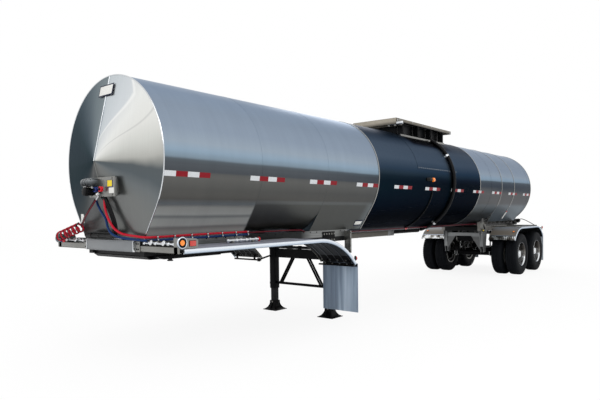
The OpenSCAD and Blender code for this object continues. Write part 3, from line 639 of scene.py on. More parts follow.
        def spot(angle, radius, back):
            t = (radius - reach[0]) / (reach[1] - reach[0])
            y = depth[0] + (depth[1] - depth[0]) * max(0.0, min(1.0, t)) - back
            return centre + Vector((cos(angle) * radius, side * y, sin(angle) * radius))
        for n in range(holes):
            loops = []
            for back in (0.0, thick):
                edge = [part.verts.new(spot((n + u / 2) * step, sum(reach) / 2 + v * (reach[1] - reach[0]) / 2,
                    back)) for u, v in square]
                hole = []
                for u, v in square:
                    a = math.atan2(v, u)
                    radius = holeCircle + holeRadius * sin(a)
                    hole.append(part.verts.new(spot(n * step + holeRadius * cos(a) / holeCircle, radius, back)))
                loops.append((edge, hole))
            for k in range(16):
                j = (k + 1) % 16
                for edge, hole in loops:
                    part.faces.new((edge[k], edge[j], hole[j], hole[k]))
                part.faces.new((loops[0][1][k], loops[0][1][j], loops[1][1][j], loops[1][1][k]))
                if square[k][1] == square[j][1] and abs(square[k][1]) == 1:
                    part.faces.new((loops[0][0][k], loops[0][0][j], loops[1][0][j], loops[1][0][k]))
        bmesh.ops.remove_doubles(part, verts=part.verts[:], dist=0.00005)
        self.absorb(part, finish)

    def done(self, body, slot, *replaced, sharp=32):
        mesh = bpy.data.meshes.new(self.name)
        self.mesh.to_mesh(mesh)
        self.mesh.free()
        for finish in self.finishes:
            mesh.materials.append(look[finish])
        mesh.set_sharp_from_angle(angle=radians(sharp))
        piece = bpy.data.objects.new(self.name, mesh)
        bpy.context.scene.collection.objects.link(piece)
        settle(piece, body, replaced)
        return piece


def settle(piece, body, replaced=()):
    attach(piece, body)
    if replaced:
        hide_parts(*replaced)
    print("made", piece.name, len(piece.data.polygons))


# node trees for what repeats

class Growth:
    def __init__(self, name, sizes):
        self.tree = bpy.data.node_groups.new(name, "GeometryNodeTree")
        kinds = {float: "NodeSocketFloat", int: "NodeSocketInt", Vector: "NodeSocketVector",
            str: "NodeSocketMaterial"}
        self.tree.interface.new_socket("Geometry", in_out="INPUT", socket_type="NodeSocketGeometry")
        for label, kind in sizes.items():
            self.tree.interface.new_socket(label, in_out="INPUT", socket_type=kinds[kind])
        self.tree.interface.new_socket("Geometry", in_out="OUTPUT", socket_type="NodeSocketGeometry")
        entry = self.tree.nodes.new("NodeGroupInput")
        self.given = {socket.name: Wire(self.tree, socket) for socket in entry.outputs if socket.name}

    def node(self, kind, settings=None, inputs=None, pick=0):
        node = self.tree.nodes.new(kind)
        for key, value in (settings or {}).items():
            setattr(node, key, value)
        for key, value in (inputs or {}).items():
            for item in (value if isinstance(value, list) else [value]):
                plug(self.tree, node.inputs[key], item)
        return Wire(self.tree, node.outputs[pick])

    def finish(self, geometry):
        whole = self.node("GeometryNodeRealizeInstances", inputs={"Geometry": geometry})
        dressed = self.node("GeometryNodeSetMaterial", inputs={"Geometry": whole, "Material": self.given["Finish"]})
        leave = self.tree.nodes.new("NodeGroupOutput")
        self.tree.links.new(dressed.socket, leave.inputs[0])
        return self.tree

    def vector(self, x=0.0, y=0.0, z=0.0):
        return self.node("ShaderNodeCombineXYZ", inputs={0: x, 1: y, 2: z})


def spotsTree():   # heads with washers on the spots, each facing as its spot does
    g = Growth("headsOnSpots", {"Head Radius": float, "Head Height": float, "Washer Radius": float,
        "Washer Height": float, "Sides": int, "Seed": int, "Finish": str})
    washer = g.node("GeometryNodeMeshCylinder", inputs={"Vertices": 16, "Radius": g.given["Washer Radius"],
        "Depth": g.given["Washer Height"] * 2})
    head = g.node("GeometryNodeMeshCylinder", inputs={"Vertices": g.given["Sides"], "Radius": g.given["Head Radius"],
        "Depth": g.given["Head Height"] * 2})
    both = g.node("GeometryNodeJoinGeometry", inputs={0: [washer, head]})
    facing = g.node("GeometryNodeInputNamedAttribute", {"data_type": "FLOAT_VECTOR"}, {"Name": "facing"})
    aligned = g.node("FunctionNodeAlignRotationToVector", {"axis": "Z"}, {"Vector": facing})
    heads = g.node("GeometryNodeInstanceOnPoints", inputs={"Points": g.given["Geometry"], "Instance": both,
        "Rotation": aligned})
    spin = g.node("FunctionNodeRandomValue", {"data_type": "FLOAT"}, {2: 0.0, 3: 6.28, "Seed": g.given["Seed"]}, 1)
    heads = g.node("GeometryNodeRotateInstances", inputs={"Instances": heads, "Rotation": g.vector(z=spin),
        "Local Space": True})
    return g.finish(heads)


def bladesTree():  # blocks on the spots, each turned to face outwards and along its run
    g = Growth("blocksOnSpots", {"Size": Vector, "Finish": str})
    block = g.node("GeometryNodeMeshCube", inputs={"Size": g.given["Size"]})
    facing = g.node("GeometryNodeInputNamedAttribute", {"data_type": "FLOAT_VECTOR"}, {"Name": "facing"})
    run = g.node("GeometryNodeInputNamedAttribute", {"data_type": "FLOAT_VECTOR"}, {"Name": "run"})
    turn = g.node("FunctionNodeAxesToRotation", {"primary_axis": "Z", "secondary_axis": "X"},
        {"Primary Axis": facing, "Secondary Axis": run})
    blocks = g.node("GeometryNodeInstanceOnPoints", inputs={"Points": g.given["Geometry"], "Instance": block,
        "Rotation": turn})
    return g.finish(blocks)


def coilTree():    # a wound line along X, then turned and set in place
    g = Growth("woundLine", {"Turns": float, "Coil Radius": float, "Coil Length": float, "Line Radius": float,
        "Place": Vector, "Turn": Vector, "Finish": str})
    helix = g.node("GeometryNodeCurveSpiral", inputs={"Resolution": 20, "Rotations": g.given["Turns"],
        "Start Radius": g.given["Coil Radius"], "End Radius": g.given["Coil Radius"],
        "Height": g.given["Coil Length"]})
    ring = g.node("GeometryNodeCurvePrimitiveCircle", inputs={"Resolution": 8, "Radius": g.given["Line Radius"]})
    skin = g.node("GeometryNodeCurveToMesh", inputs={"Curve": helix, "Profile Curve": ring, "Fill Caps": True})
    moved = g.node("GeometryNodeTransform", inputs={"Geometry": skin, "Translation": g.given["Place"],
        "Rotation": g.given["Turn"]})
    return g.finish(moved)


def grown(name, tree, values, body, spots=(), smooth=False, replaced=()):
    base = bpy.data.meshes.new(name)
    base.from_pydata([spot[0] for spot in spots], [], [])
    for index, label in enumerate(("facing", "run"), 1):
        if spots and len(spots[0]) > index:
            column = base.attributes.new(label, "FLOAT_VECTOR", "POINT")
            column.data.foreach_set("vector", [c for spot in spots for c in spot[index]])
    piece = bpy.data.objects.new(name, base)
    bpy.context.scene.collection.objects.link(piece)
    modifier = piece.modifiers.new("grow", "NODES")
    modifier.node_group = tree
    for item in tree.interface.items_tree:
        if item.in_out == "INPUT" and item.name in values:
            modifier[item.identifier] = values[item.name]
    graph = bpy.context.evaluated_depsgraph_get()
    mesh = bpy.data.meshes.new_from_object(piece.evaluated_get(graph), depsgraph=graph)
    piece.modifiers.remove(modifier)
    piece.data = mesh
    if smooth:
        mesh.polygons.foreach_set("use_smooth", [True] * len(mesh.polygons))
        mesh.set_sharp_from_angle(angle=radians(40))
    settle(piece, body, replaced)
    return piece


spotsNodes, bladesNodes, coilNodes = spotsTree(), bladesTree(), coilTree()
boltSpots = {}


def bolt(kind, place, facing, body="trailer"):
    boltSpots.setdefault((kind, body), []).append((Vector(place), Vector(facing).normalized()))


# jacket, heads, band

keelOut = tank["radius"] * cos(radians(keel["angle"]))
keelTop = tank["middle"] - tank["radius"] * sin(radians(keel["angle"]))
keelIn = keelOut - (keelTop - keel["floor"]) * tan(radians(keel["angle"]))


def outline(withKeel, grow=0.0, steps=192):
    r = tank["radius"] + grow
    if not withKeel:
        return [(r * cos(2 * pi * k / steps), tank["middle"] + r * sin(2 * pi * k / steps)) for k in range(steps)]
    first, last = -keel["angle"], 180 + keel["angle"]
    ring = [radians(first + (last - first) * k / steps) for k in range(steps + 1)]
    points = [(r * cos(a), tank["middle"] + r * sin(a)) for a in ring]
    return points + [(-keelIn - grow, keel["floor"] - grow), (keelIn + grow, keel["floor"] - grow)]


def makeJacket():
    size = dict(rim=0.007, lap=0.0012, lapWidth=0.03, bandProud=0.0055, bandWidth=0.024)
    for name, start, end, node in (("frontJacket", 0, tank["bandStart"], "tank_front"),
            ("rearJacket", tank["bandEnd"], tank["length"], "tank_rear")):
        piece = Piece(name)
        piece.prism(outline(False), start, end, "s", "jacket")
        for low, high in keel["stretches"]:
            if start <= low < end:
                piece.prism(outline(True), low + 0.0004, high, "s", "jacket")
        piece.done("trailer", "jacket", node)
    laps = Piece("jacketLaps")
    for s, withKeel in ((1.424, False), (2.754, False), (9.0, False), (11.69, False)):
        laps.prism(outline(withKeel, size["lap"]), s, s + size["lapWidth"], "s", "jacket")
    laps.done("trailer", "jacket")
    trim = Piece("jacketBands")
    for s, withKeel in ((4.072, True), (8.308, False), (9.67, True), (10.57, True), (11.89, False)):
        trim.prism(outline(withKeel, size["bandProud"]), s, s + size["bandWidth"], "s", "jacketBand")
    rim = [at(0.002, y, z) for y, z in outline(True, 0.001)]
    trim.tube(rim, size["rim"], "trim", 8, loop=True)
    trim.done("trailer", "bright_trim", "jacket_bands")
    band = Piece("darkBand")
    band.prism(outline(False, 0.002), tank["bandStart"] + 0.012, tank["bandEnd"] - 0.012, "s", "band")
    # the lift-off cover sheet over the fittings
    band.arcSheet((5.43, 7.15), (10.4, 169.6), (0.945, 0.9485), "band", 96)
    for side in (0, 180):
        for k in range(21):
            angle = radians(12.2 if side == 0 else 167.8)
            out = Vector((0, cos(angle), sin(angle)))
            bolt("rivet", at(5.47 + k * 0.08, 0, tank["middle"]) + out * 0.9485, out)
    band.done("trailer", "band_gloss", "tank_band")


def makeHeads():
    size = dict(depth=0.21, dish=0.17, dent=0.0045, rows=22, ridge=0.006)
    apex = at(-size["depth"], 0, tank["middle"])
    rim = [at(0, y, z) for y, z in outline(True)]
    count, points = len(rim), []
    for row in range(size["rows"]):
        t = 1 - row / size["rows"] * 0.985
        for p in rim:
            q = apex + (p - apex) * t
            hollow = noise.noise(Vector((0, q.y * 1.7, q.z * 1.7)) + Vector((3.1, 0, 0)))
            points.append(q - Vector((size["dent"] * sin(pi * min(1, t)) * (0.6 + 0.5 * hollow), 0, 0)))
    faces = quads(size["rows"], count)
    points.append(apex - Vector((0.003, 0, 0)))
    last = (size["rows"] - 1) * count
    faces += [(last + k, last + (k + 1) % count, len(points) - 1) for k in range(count)] + [list(range(count))]
    piece = Piece("coneHead")
    piece.shell(points, faces, "head")
    top, foot = at(0, 0, tank["middle"] + tank["radius"] - 0.004), at(0, 0, keel["floor"] + 0.004)
    piece.bar(top, apex + Vector((0.002, 0, 0)), size["ridge"], "trim", 12)
    piece.bar(foot, apex, 0.0035, "mill", 10)
    piece.done("trailer", "head_sheet", "front_head")

    dish = Piece("rearHead")
    big = (tank["radius"] ** 2 + size["dish"] ** 2) / (2 * size["dish"])
    half = math.asin(tank["radius"] / big)
    profile = [(-0.05, 0), (-0.05, tank["radius"] - 0.004)]
    profile += [(size["dish"] - big * (1 - cos(half * k / 24)), big * sin(half * k / 24)) for k in range(24, -1, -1)]
    dish.turned(profile, at(tank["length"], 0, tank["middle"]), toRear, "rearHead", 160)
    dish.turned([(0.0, 0.9), (0.0, 0.948), (0.022, 0.948), (0.028, 0.9)],
        at(tank["length"] - 0.012, 0, tank["middle"]), toRear, "trim", 160, ring=True)
    dish.done("trailer", "head_sheet", "rear_head")

    plates = Piece("barePlates")
    slope = math.atan2(size["depth"], tank["radius"])
    lean = Matrix.Rotation(-slope, 3, "Y")
    spot = at(-0.046, 0.0, tank["middle"] + 0.78)
    plates.slab(spot, (0.003, 0.272, 0.132), "label", 0.001, lean)
    plates.slab(spot + lean @ Vector((0.0012, 0, 0)), (0.003, 0.246, 0.104), "whiteTag", 0.001, lean)
    plates.box((-0.034, -0.014), (-0.62, -0.55), (1.487, 1.592), "whiteTag", 0.001)
    # a bare plate on the left flank
    tilt = Matrix.Rotation(radians(keel["angle"]), 3, "X")
    middle = at(4.035 - 0.11, (keelOut + keelIn) / 2 - 0.045, (keelTop + keel["floor"]) / 2 - 0.07)
    middle += Vector((0, cos(radians(keel["angle"])), -sin(radians(keel["angle"])))) * 0.002
    plates.slab(middle, (0.2, 0.004, 0.105), "label", 0.001, tilt.transposed())
    plates.slab(middle + tilt.transposed() @ Vector((0, 0.0012, 0)), (0.18, 0.004, 0.06), "whiteTag", 0.001,
        tilt.transposed())
    plates.done("trailer", "bare_aluminium")


def makeTape():
    size = dict(height=1.99, tall=0.056, length=0.1525, first=0.0, pitch=1.12, lead=0.104)
    starts = [size["first"]] + [size["lead"] + size["pitch"] * k for k in range(1, 11)]
    angle = math.degrees(math.asin((size["height"] - tank["middle"]) / tank["radius"]))
    spread = math.degrees(size["tall"] / tank["radius"] / 2)
    for name, finish, offset in (("whiteTape", "tapeWhite", 0), ("redTape", "tapeRed", 1)):
        piece = Piece(name)
        for start in starts:
            for k in (0, 2):
                s = start + size["length"] * (k + offset)
                for middle in (angle, 180 - angle):
                    piece.arcSheet((s, min(s + size["length"], tank["length"])), about(middle, spread),
                        (0.944, 0.948), finish, 4)
        piece.done("trailer", "bright_trim")


makeJacket()
makeHeads()
makeTape()


# front fittings

def makeFrontBracket():
    size = dict(plate=((-0.185, -0.173), (-0.15, 0.35), (1.77, 1.98)), valve=(-0.236, 1.927), socket=1.83,
        coupling=1.85)
    piece = Piece("frontBracket")
    piece.box(*size["plate"], "mill", 0.003)
    for y in (-0.149, 0.342):
        piece.box((-0.174, -0.15), (y, y + 0.007), (1.776, 1.973), "mill", 0.002)
    for y in (-0.11, 0.3):
        piece.box((-0.173, -0.112), (y - 0.011, y + 0.011), (1.802, 1.953), "mill", 0.002)
        for z in (1.79, 1.962):
            bolt("bolt", at(-0.185, y, z), toFront)
    # relay valve with its ribs and ports
    s, z = size["valve"]
    ribs = [(0, 0), (0, 0.02), (0.01, 0.024), (0.013, 0.042), (0.03, 0.045), (0.048, 0.045), (0.052, 0.037),
        (0.072, 0.037), (0.076, 0.045), (0.096, 0.045), (0.1, 0.035), (0.126, 0.035), (0.13, 0.045), (0.148, 0.045),
        (0.152, 0.038), (0.184, 0.038), (0.188, 0.045), (0.208, 0.045), (0.221, 0.028), (0.224, 0)]
    piece.turned(ribs, at(s, -0.184, z), toLeft, "cast", 32)
    piece.box((-0.262, -0.184), (-0.178, 0.03), (1.884, 1.962), "cast", 0.008)
    piece.box((-0.255, -0.19), (-0.12, 0.036), (1.958, 1.9735), "cast", 0.004)
    piece.box((-0.268, -0.2), (-0.1, -0.03), (1.882, 1.905), "rubber", 0.004)
    for y in (-0.14, -0.08, 0.0):
        piece.turned([(0, 0), (0, 0.013), (0.014, 0.013), (0.016, 0.009), (0.034, 0.009), (0.034, 0)],
            at(s, y, z - 0.032), toFloor, "steel", 12)
        bolt("smallBolt", at(s - 0.03, y + 0.02, z + 0.028), (0.6, 0, 0.8))
    # electric socket with its spring lid
    piece.turned([(0, 0), (0, 0.038), (0.014, 0.038), (0.018, 0.043), (0.07, 0.043), (0.074, 0.047), (0.098, 0.047),
        (0.103, 0.043), (0.103, 0)], at(-0.184, -0.06, size["socket"]), toFront, "rubber", 32)
    piece.turned([(0, 0), (0, 0.044), (0.003, 0.047), (0.008, 0.047), (0.013, 0.036), (0.015, 0)],
        at(-0.29, -0.06, size["socket"] + 0.002), (1, 0, 0.1), "rubber", 32)
    piece.bar(at(-0.286, -0.085, size["socket"] + 0.05), at(-0.286, -0.035, size["socket"] + 0.05), 0.006, "steel")
    # small lamp
    piece.turned(drum(0, 0.014, 0.029), at(-0.184, -0.15, size["socket"]), toFront, "rubber", 24)
    piece.turned([(0.013, 0), (0.013, 0.025), (0.028, 0.023), (0.037, 0.014), (0.039, 0)],
        at(-0.184, -0.15, size["socket"]), toFront, "amber", 24)
    # hose couplings: stub, body, seal and hooked plate
    for y, finish in ((0.15, "redPaint"), (0.045, "bluePaint")):
        base = at(-0.184, y, size["coupling"])
        piece.turned([(0, 0), (0, 0.017), (0.018, 0.017), (0.02, 0.013), (0.024, 0.013), (0.024, 0)], base, toFront,
            "steel", 16)
        piece.turned([(0.022, 0), (0.022, 0.022), (0.027, 0.028), (0.044, 0.03), (0.052, 0.028), (0.056, 0.022),
            (0.056, 0.017), (0.05, 0.014), (0.05, 0)], base, toFront, finish, 28)
        piece.turned([(0.052, 0.009), (0.052, 0.017), (0.059, 0.016), (0.06, 0.012), (0.059, 0.009)], base, toFront,
            "rubber", 20, ring=True)
        piece.slab(base + Vector((0.041, 0.03, 0.01)), (0.008, 0.038, 0.024), finish, 0.003,
            Matrix.Rotation(0.5, 3, "X"))
        piece.slab(base + Vector((0.041, -0.028, -0.012)), (0.012, 0.026, 0.018), finish, 0.003,
            Matrix.Rotation(0.5, 3, "X"))
    # a spare steel coupling that hangs below
    piece.line([(-0.19, 0.07, 1.8), (-0.205, 0.062, 1.775), (-0.206, 0.03, 1.745)], 0.012, "steel", 14, 5)
    piece.turned([(0, 0), (0, 0.02), (0.022, 0.024), (0.03, 0.024), (0.034, 0.016), (0.034, 0)],
        at(-0.198, 0.068, 1.812), (0.5, -0.3, -0.8), "steel", 18)
    # bare tags
    piece.slab(at(-0.1862, 0.262, 1.905), (0.0016, 0.112, 0.078), "bluePaint", 0)
    piece.slab(at(-0.1874, 0.262, 1.908), (0.002, 0.088, 0.064), "yellowTag", 0)
    piece.slab(at(-0.1864, 0.292, 1.834), (0.002, 0.094, 0.058), "whiteTag", 0)
    piece.done("trailer", "bare_aluminium", "valve_bracket", "gladhands")


def makeLines():
    size = dict(red=0.013, blue=0.013, power=0.021, clip=0.0185)
    redRoute = [(-172, 128, 1800), (-160, 110, 1764), (-166, 125, 1660), (-160, 175, 1540), (-140, 245, 1440),
        (-110, 320, 1385), (-82, 400, 1365), (-62, 500, 1355), (-40, 590, 1345), (0, 645, 1340), (80, 665, 1340),
        (500, 665, 1345), (1000, 665, 1350), (1440, 665, 1350)]
    blueRoute = [(-170, 20, 1815), (-160, -50, 1764), (-162, -30, 1700), (-164, 50, 1610), (-162, 130, 1532),
        (-156, 160, 1440), (-145, 220, 1375), (-118, 320, 1340), (-82, 420, 1326), (-62, 510, 1318), (-40, 595, 1312),
        (0, 650, 1308), (80, 672, 1308), (500, 672, 1312), (1000, 672, 1316), (1440, 672, 1318)]
    powerRoute = [(-172, 120, 1775), (-160, 140, 1740), (-145, 155, 1680), (-124, 190, 1580), (-112, 220, 1460),
        (-106, 222, 1400), (-104, 196, 1362), (-101, 120, 1350), (-96, 0, 1350), (-92, -150, 1350), (-88, -300, 1350),
        (-84, -420, 1350)]
    piece = Piece("airLines")
    for route, radius, finish in ((redRoute, size["red"], "redLine"), (blueRoute, size["blue"], "blueLine"),
            (powerRoute, size["power"], "rubber")):
        line = curved([at(s / 1000, y / 1000, z / 1000) for s, y, z in route], 6)
        piece.tube(line, radius, finish, 12)
        if finish != "rubber":
            piece.turned([(-0.016, 0), (-0.016, radius + 0.004), (0.012, radius + 0.004), (0.016, radius),
                (0.016, 0)], line[6], toTop, "steel", 16)
    # clips along the frame
    for s in (0.1, 0.32, 0.55, 0.78, 1.0, 1.22, 1.42):
        for y, z in ((0.665, 1.34 + 0.01 * min(s, 1.0)), (0.672, 1.308 + 0.01 * min(s, 1.0))):
            piece.turned([(-0.007, 0.0128), (-0.007, size["clip"]), (0.007, size["clip"]), (0.007, 0.0128)],
                at(s, y, z), toFront, "steel", 16, ring=True)
        piece.box((s - 0.007, s + 0.007), (0.54, 0.652), (1.318, 1.322), "steel", 0.001)
    # lines that run on below the tank to the axles, the red one painted darker for shade
    back = [(1.4, 0.665, 1.35), (1.48, 0.64, 1.345), (1.58, 0.592, 1.338), (2.0, 0.59, 1.338), (2.5, 0.59, 1.336),
        (2.66, 0.56, 1.312), (2.86, 0.45, 1.276), (3.2, 0.4, 1.264), (4.1, 0.4, 1.262), (6.0, 0.4, 1.262),
        (8.0, 0.4, 1.262), (9.2, 0.4, 1.262), (9.7, 0.38, 1.24), (10.1, 0.3, 1.2)]
    piece.line(back, 0.008, "shadowedRed")
    piece.line([(s + 0.02, y - 0.03, z - 0.004) for s, y, z in back], 0.008, "rubber")
    # the wiring that drops from the socket beside the bundle
    for shift, radius in ((0.03, 0.011), (-0.028, 0.01)):
        wire = [(-0.168, 0.06 + shift, 1.79), (-0.16, 0.14 + shift, 1.72), (-0.128, 0.19 + shift, 1.58),
            (-0.112, 0.222 + shift, 1.46), (-0.104, 0.2 + shift, 1.372 + shift * 0.5), (-0.1, 0.11, 1.352 + shift),
            (-0.095, -0.1, 1.352 + shift), (-0.09, -0.3, 1.352 + shift), (-0.084, -0.42, 1.352 + shift * 0.5)]
        piece.line(wire, radius, "rubber")
    for y in (0.05, -0.13, -0.29):
        piece.turned(collar(0.006, 0.0208, 0.0235), at(-0.094, y, 1.35), toLeft, "darkSteel", 20, ring=True)
    piece.done("trailer", "air_hose", "air_lines")


def makeCoil():
    size = dict(turns=5.4, radius=0.052, line=0.0088)
    start, end = at(-0.107, -0.486, 1.446), at(-0.084, -1.04, 1.325)
    along = (end - start).normalized()
    turn = along.to_track_quat("Z", "Y")
    for name, finish, roll, replaced in (("redCoil", "redLine", 0.0, ("coiled_line",)),
            ("blackCoil", "rubber", 1.2, ())):
        euler = (turn @ Matrix.Rotation(roll, 3, "Z").to_quaternion()).to_euler()
        grown(name, coilNodes, {"Turns": size["turns"], "Coil Radius": size["radius"],
            "Coil Length": (end - start).length, "Line Radius": size["line"], "Place": start, "Turn": Vector(euler),
            "Finish": look[finish]}, "trailer", smooth=True, replaced=replaced)
    leads = Piece("coilLeads")
    lead = [(-0.206, 0.03, 1.75), (-0.214, -0.02, 1.7), (-0.206, -0.13, 1.625), (-0.176, -0.27, 1.55),
        (-0.13, -0.4, 1.49), (-0.11, -0.475, 1.442)]
    leads.line(lead, 0.0075, "shadowedRed", 12)
    leads.line([(s + 0.004, y - 0.014, z + 0.012) for s, y, z in lead], 0.0075, "rubber", 12)
    for y, finish in ((-1.06, "redPaint"), (-1.12, "bluePaint")):
        leads.line([(-0.08, -1.035, 1.33), (-0.062, y + 0.01, 1.322), (-0.03, y, 1.3), (-0.01, y, 1.268)], 0.0115,
            "rubber")
        leads.turned([(0, 0), (0, 0.018), (0.014, 0.027), (0.03, 0.027), (0.036, 0.018), (0.036, 0)],
            at(-0.024, y, 1.288), (-0.5, 0, -0.8), finish, 18)
    leads.done("trailer", "air_hose")


def makeBumper():
    size = dict(front=-0.062, back=-0.024, half=0.47, floor=1.186, top=1.306, wing=(0.474, 1.172), wingFloor=1.19,
        wingTop=1.256)
    piece = Piece("frontBumper")
    f, b, h, floor, top = (size[key] for key in ("front", "back", "half", "floor", "top"))
    piece.box((f + 0.004, f + 0.01), (-h + 0.006, h - 0.006), (floor + 0.004, top - 0.006), "bumperFace", 0.001)
    piece.box((f, b), (-h, h), (top - 0.008, top), "bumperFace", 0.003)
    piece.box((f, b), (-h, h), (floor, floor + 0.007), "bumperFace", 0.003)
    piece.box((b - 0.006, b), (-h, h), (floor + 0.004, top - 0.004), "mill", 0.001)
    for y in (-h - 0.002, h - 0.01):
        piece.box((f, b), (y, y + 0.012), (floor, top + 0.001), "trim", 0.003)
    for y in (-0.3, -0.1, 0.1, 0.3):
        bolt("smallBolt", at(-0.043, y, top), toTop)
    for side in (1, -1):
        near, far = size["wing"]
        piece.box((-0.03, -0.024), span(side, near, far), (size["wingFloor"], size["wingTop"]), "mill", 0.001)
        piece.box((-0.03, 0.02), span(side, near, far), (size["wingFloor"], size["wingFloor"] + 0.006), "mill", 0.001)
        piece.box((-0.03, 0.02), span(side, near, far), (size["wingTop"] - 0.006, size["wingTop"]), "mill", 0.001)
        piece.box((-0.036, -0.028), span(side, near, near + 0.08), (1.188, 1.3), "mill", 0.002)
        for y in (near + 0.025, near + 0.055):
            bolt("smallBolt", at(-0.036, side * y, 1.215), toFront)
            bolt("smallBolt", at(-0.036, side * y, 1.272), toFront)
        # bright pipe and couplings that lie on the channel
        piece.bar(at(-0.004, side * 0.59, 1.281), at(-0.004, side * 1.12, 1.281), 0.0135, "chrome", 16)
        for y in (0.61, 0.69, 0.8, 0.905, 1.01, 1.1):
            piece.turned([(-0.014, 0), (-0.014, 0.021), (-0.011, 0.023), (0.011, 0.023), (0.014, 0.021), (0.014, 0)],
                at(-0.004, side * y, 1.281), toLeft, "chrome", 6 if y in (0.69, 0.905) else 20)
        for y in (0.75, 0.96):
            piece.turned([(0, 0), (0, 0.015), (0.018, 0.015), (0.02, 0.025), (0.034, 0.027), (0.038, 0.018),
                (0.038, 0)], at(-0.006, side * y, 1.283), (0.9, 0, 0.25), "chrome", 20)
        for z in (1.262, 1.305):
            piece.bar(at(-0.012, side * 0.56, z + 0.004), at(-0.006, side * 1.15, z - 0.001), 0.007, "rubber", 10)
        # side plate that carries the corner lamp
        plate = [(-0.028, 1.246), (-0.018, 1.238), (0.19, 1.238), (0.2, 1.248), (0.2, 1.318), (0.18, 1.334),
            (0.06, 1.345), (-0.02, 1.345), (-0.028, 1.336)]
        piece.prism(plate, *span(side, 1.1965, 1.2035), "y", "mill", 0.001)
        piece.box((-0.03, -0.023), span(side, 1.112, 1.198), (1.192, 1.344), "mill", 0.002)
    piece.done("trailer", "bare_aluminium", "bumper")

    # bright pipe with a red plug, on the mudguard's deck
    pipe = Piece("deckPipe")
    start, end = at(0.96, 0.78, 1.262), at(1.47, 0.8, 1.262)
    pipe.bar(start, end, 0.019, "chrome", 20)
    along = (end - start).normalized()
    for t in (0.04, 0.3, 0.42, 0.6, 0.72, 0.9):
        pipe.turned([(-0.012, 0), (-0.012, 0.026), (-0.009, 0.029), (0.009, 0.029), (0.012, 0.026), (0.012, 0)],
            start.lerp(end, t), along, "chrome", 6 if t in (0.3, 0.6) else 20)
    pipe.turned([(0, 0), (0, 0.022), (0.012, 0.026), (0.026, 0.022), (0.032, 0.01), (0.033, 0)], end, along,
        "redPaint", 20)
    for t in (0.18, 0.8):
        foot = start.lerp(end, t)
        pipe.slab(foot - Vector((0, 0, 0.016)), (0.028, 0.06, 0.03), "mill", 0.003)
    pipe.done("trailer", "bright_steel")


def makeCornerLamps():
    size = dict(ring=0.06, well=0.048, lens=0.03, height=1.298)
    piece = Piece("cornerLamps")
    for side in (1, -1):
        centre = at(0, side * 1.2035, size["height"])
        out = (0, side, 0)
        piece.turned([(0, 0), (0, size["ring"]), (0.008, size["ring"]), (0.0115, size["ring"] - 0.004),
            (0.0115, size["well"] + 0.002), (0.008, size["well"]), (0.008, 0)], centre, out, "lip", 40)
        piece.turned([(0.006, 0), (0.006, size["well"]), (0.0095, size["well"] - 0.001), (0.0095, 0)], centre, out,
            "rubber", 40)
        piece.turned([(0.007, 0), (0.007, size["lens"]), (0.0105, size["lens"] - 0.004),
            (0.012, size["lens"] - 0.014), (0.0124, 0)], centre, out, "amber", 32)
        piece.box((0.088, 0.172), span(side, 1.2035, 1.2095), (1.258, 1.318), "rubber", 0.003)
        piece.box((0.092, 0.168), span(side, 1.2085, 1.212), (1.262, 1.314), "redReflector", 0.0015)
        # lamp in its housing on the dark band
        lamp = at(5.98, side * (tank["radius"] + 0.002), tank["middle"])
        piece.turned([(-0.01, 0), (-0.01, 0.038), (0.022, 0.038), (0.038, 0.032), (0.046, 0.018), (0.048, 0)], lamp,
            out, "amber", 28)
        hood = [at(s, side * (tank["radius"] + y), tank["middle"] + z) for s, y,
            z in ((5.72, 0.0, 0), (5.75, 0.01, 0), (5.8, 0.018, 0), (5.86, 0.02, 0), (5.905, 0.014, 0),
            (5.925, 0.004, 0))]
        piece.tube(hood, lambda t: 0.016 + 0.02 * sin(pi * min(1.0, t * 0.9 + 0.08)), "rubber", 20)
        # tail lamps
        for y in (1.06, 0.9):
            spot = at(12.219, side * y, 0.69)
            piece.turned([(0, 0), (0, 0.055), (0.018, 0.055), (0.022, 0.05), (0.018, 0.046), (0.018, 0)], spot,
                toRear, "rubber", 36)
            piece.turned([(0.014, 0), (0.014, 0.046), (0.024, 0.043), (0.029, 0.026), (0.0305, 0)], spot, toRear,
                "red", 36)
        piece.box((12.2, 12.22), span(side, 0.82, 1.14), (0.62, 0.76), "mill", 0.005)
        piece.box((12.196, 12.219), span(side, 0.82, 0.86), (0.571, 0.64), "mill", 0.003)
    piece.done("trailer", "lamp_lens", "lamps")


# mudguards, flaps and landing gear

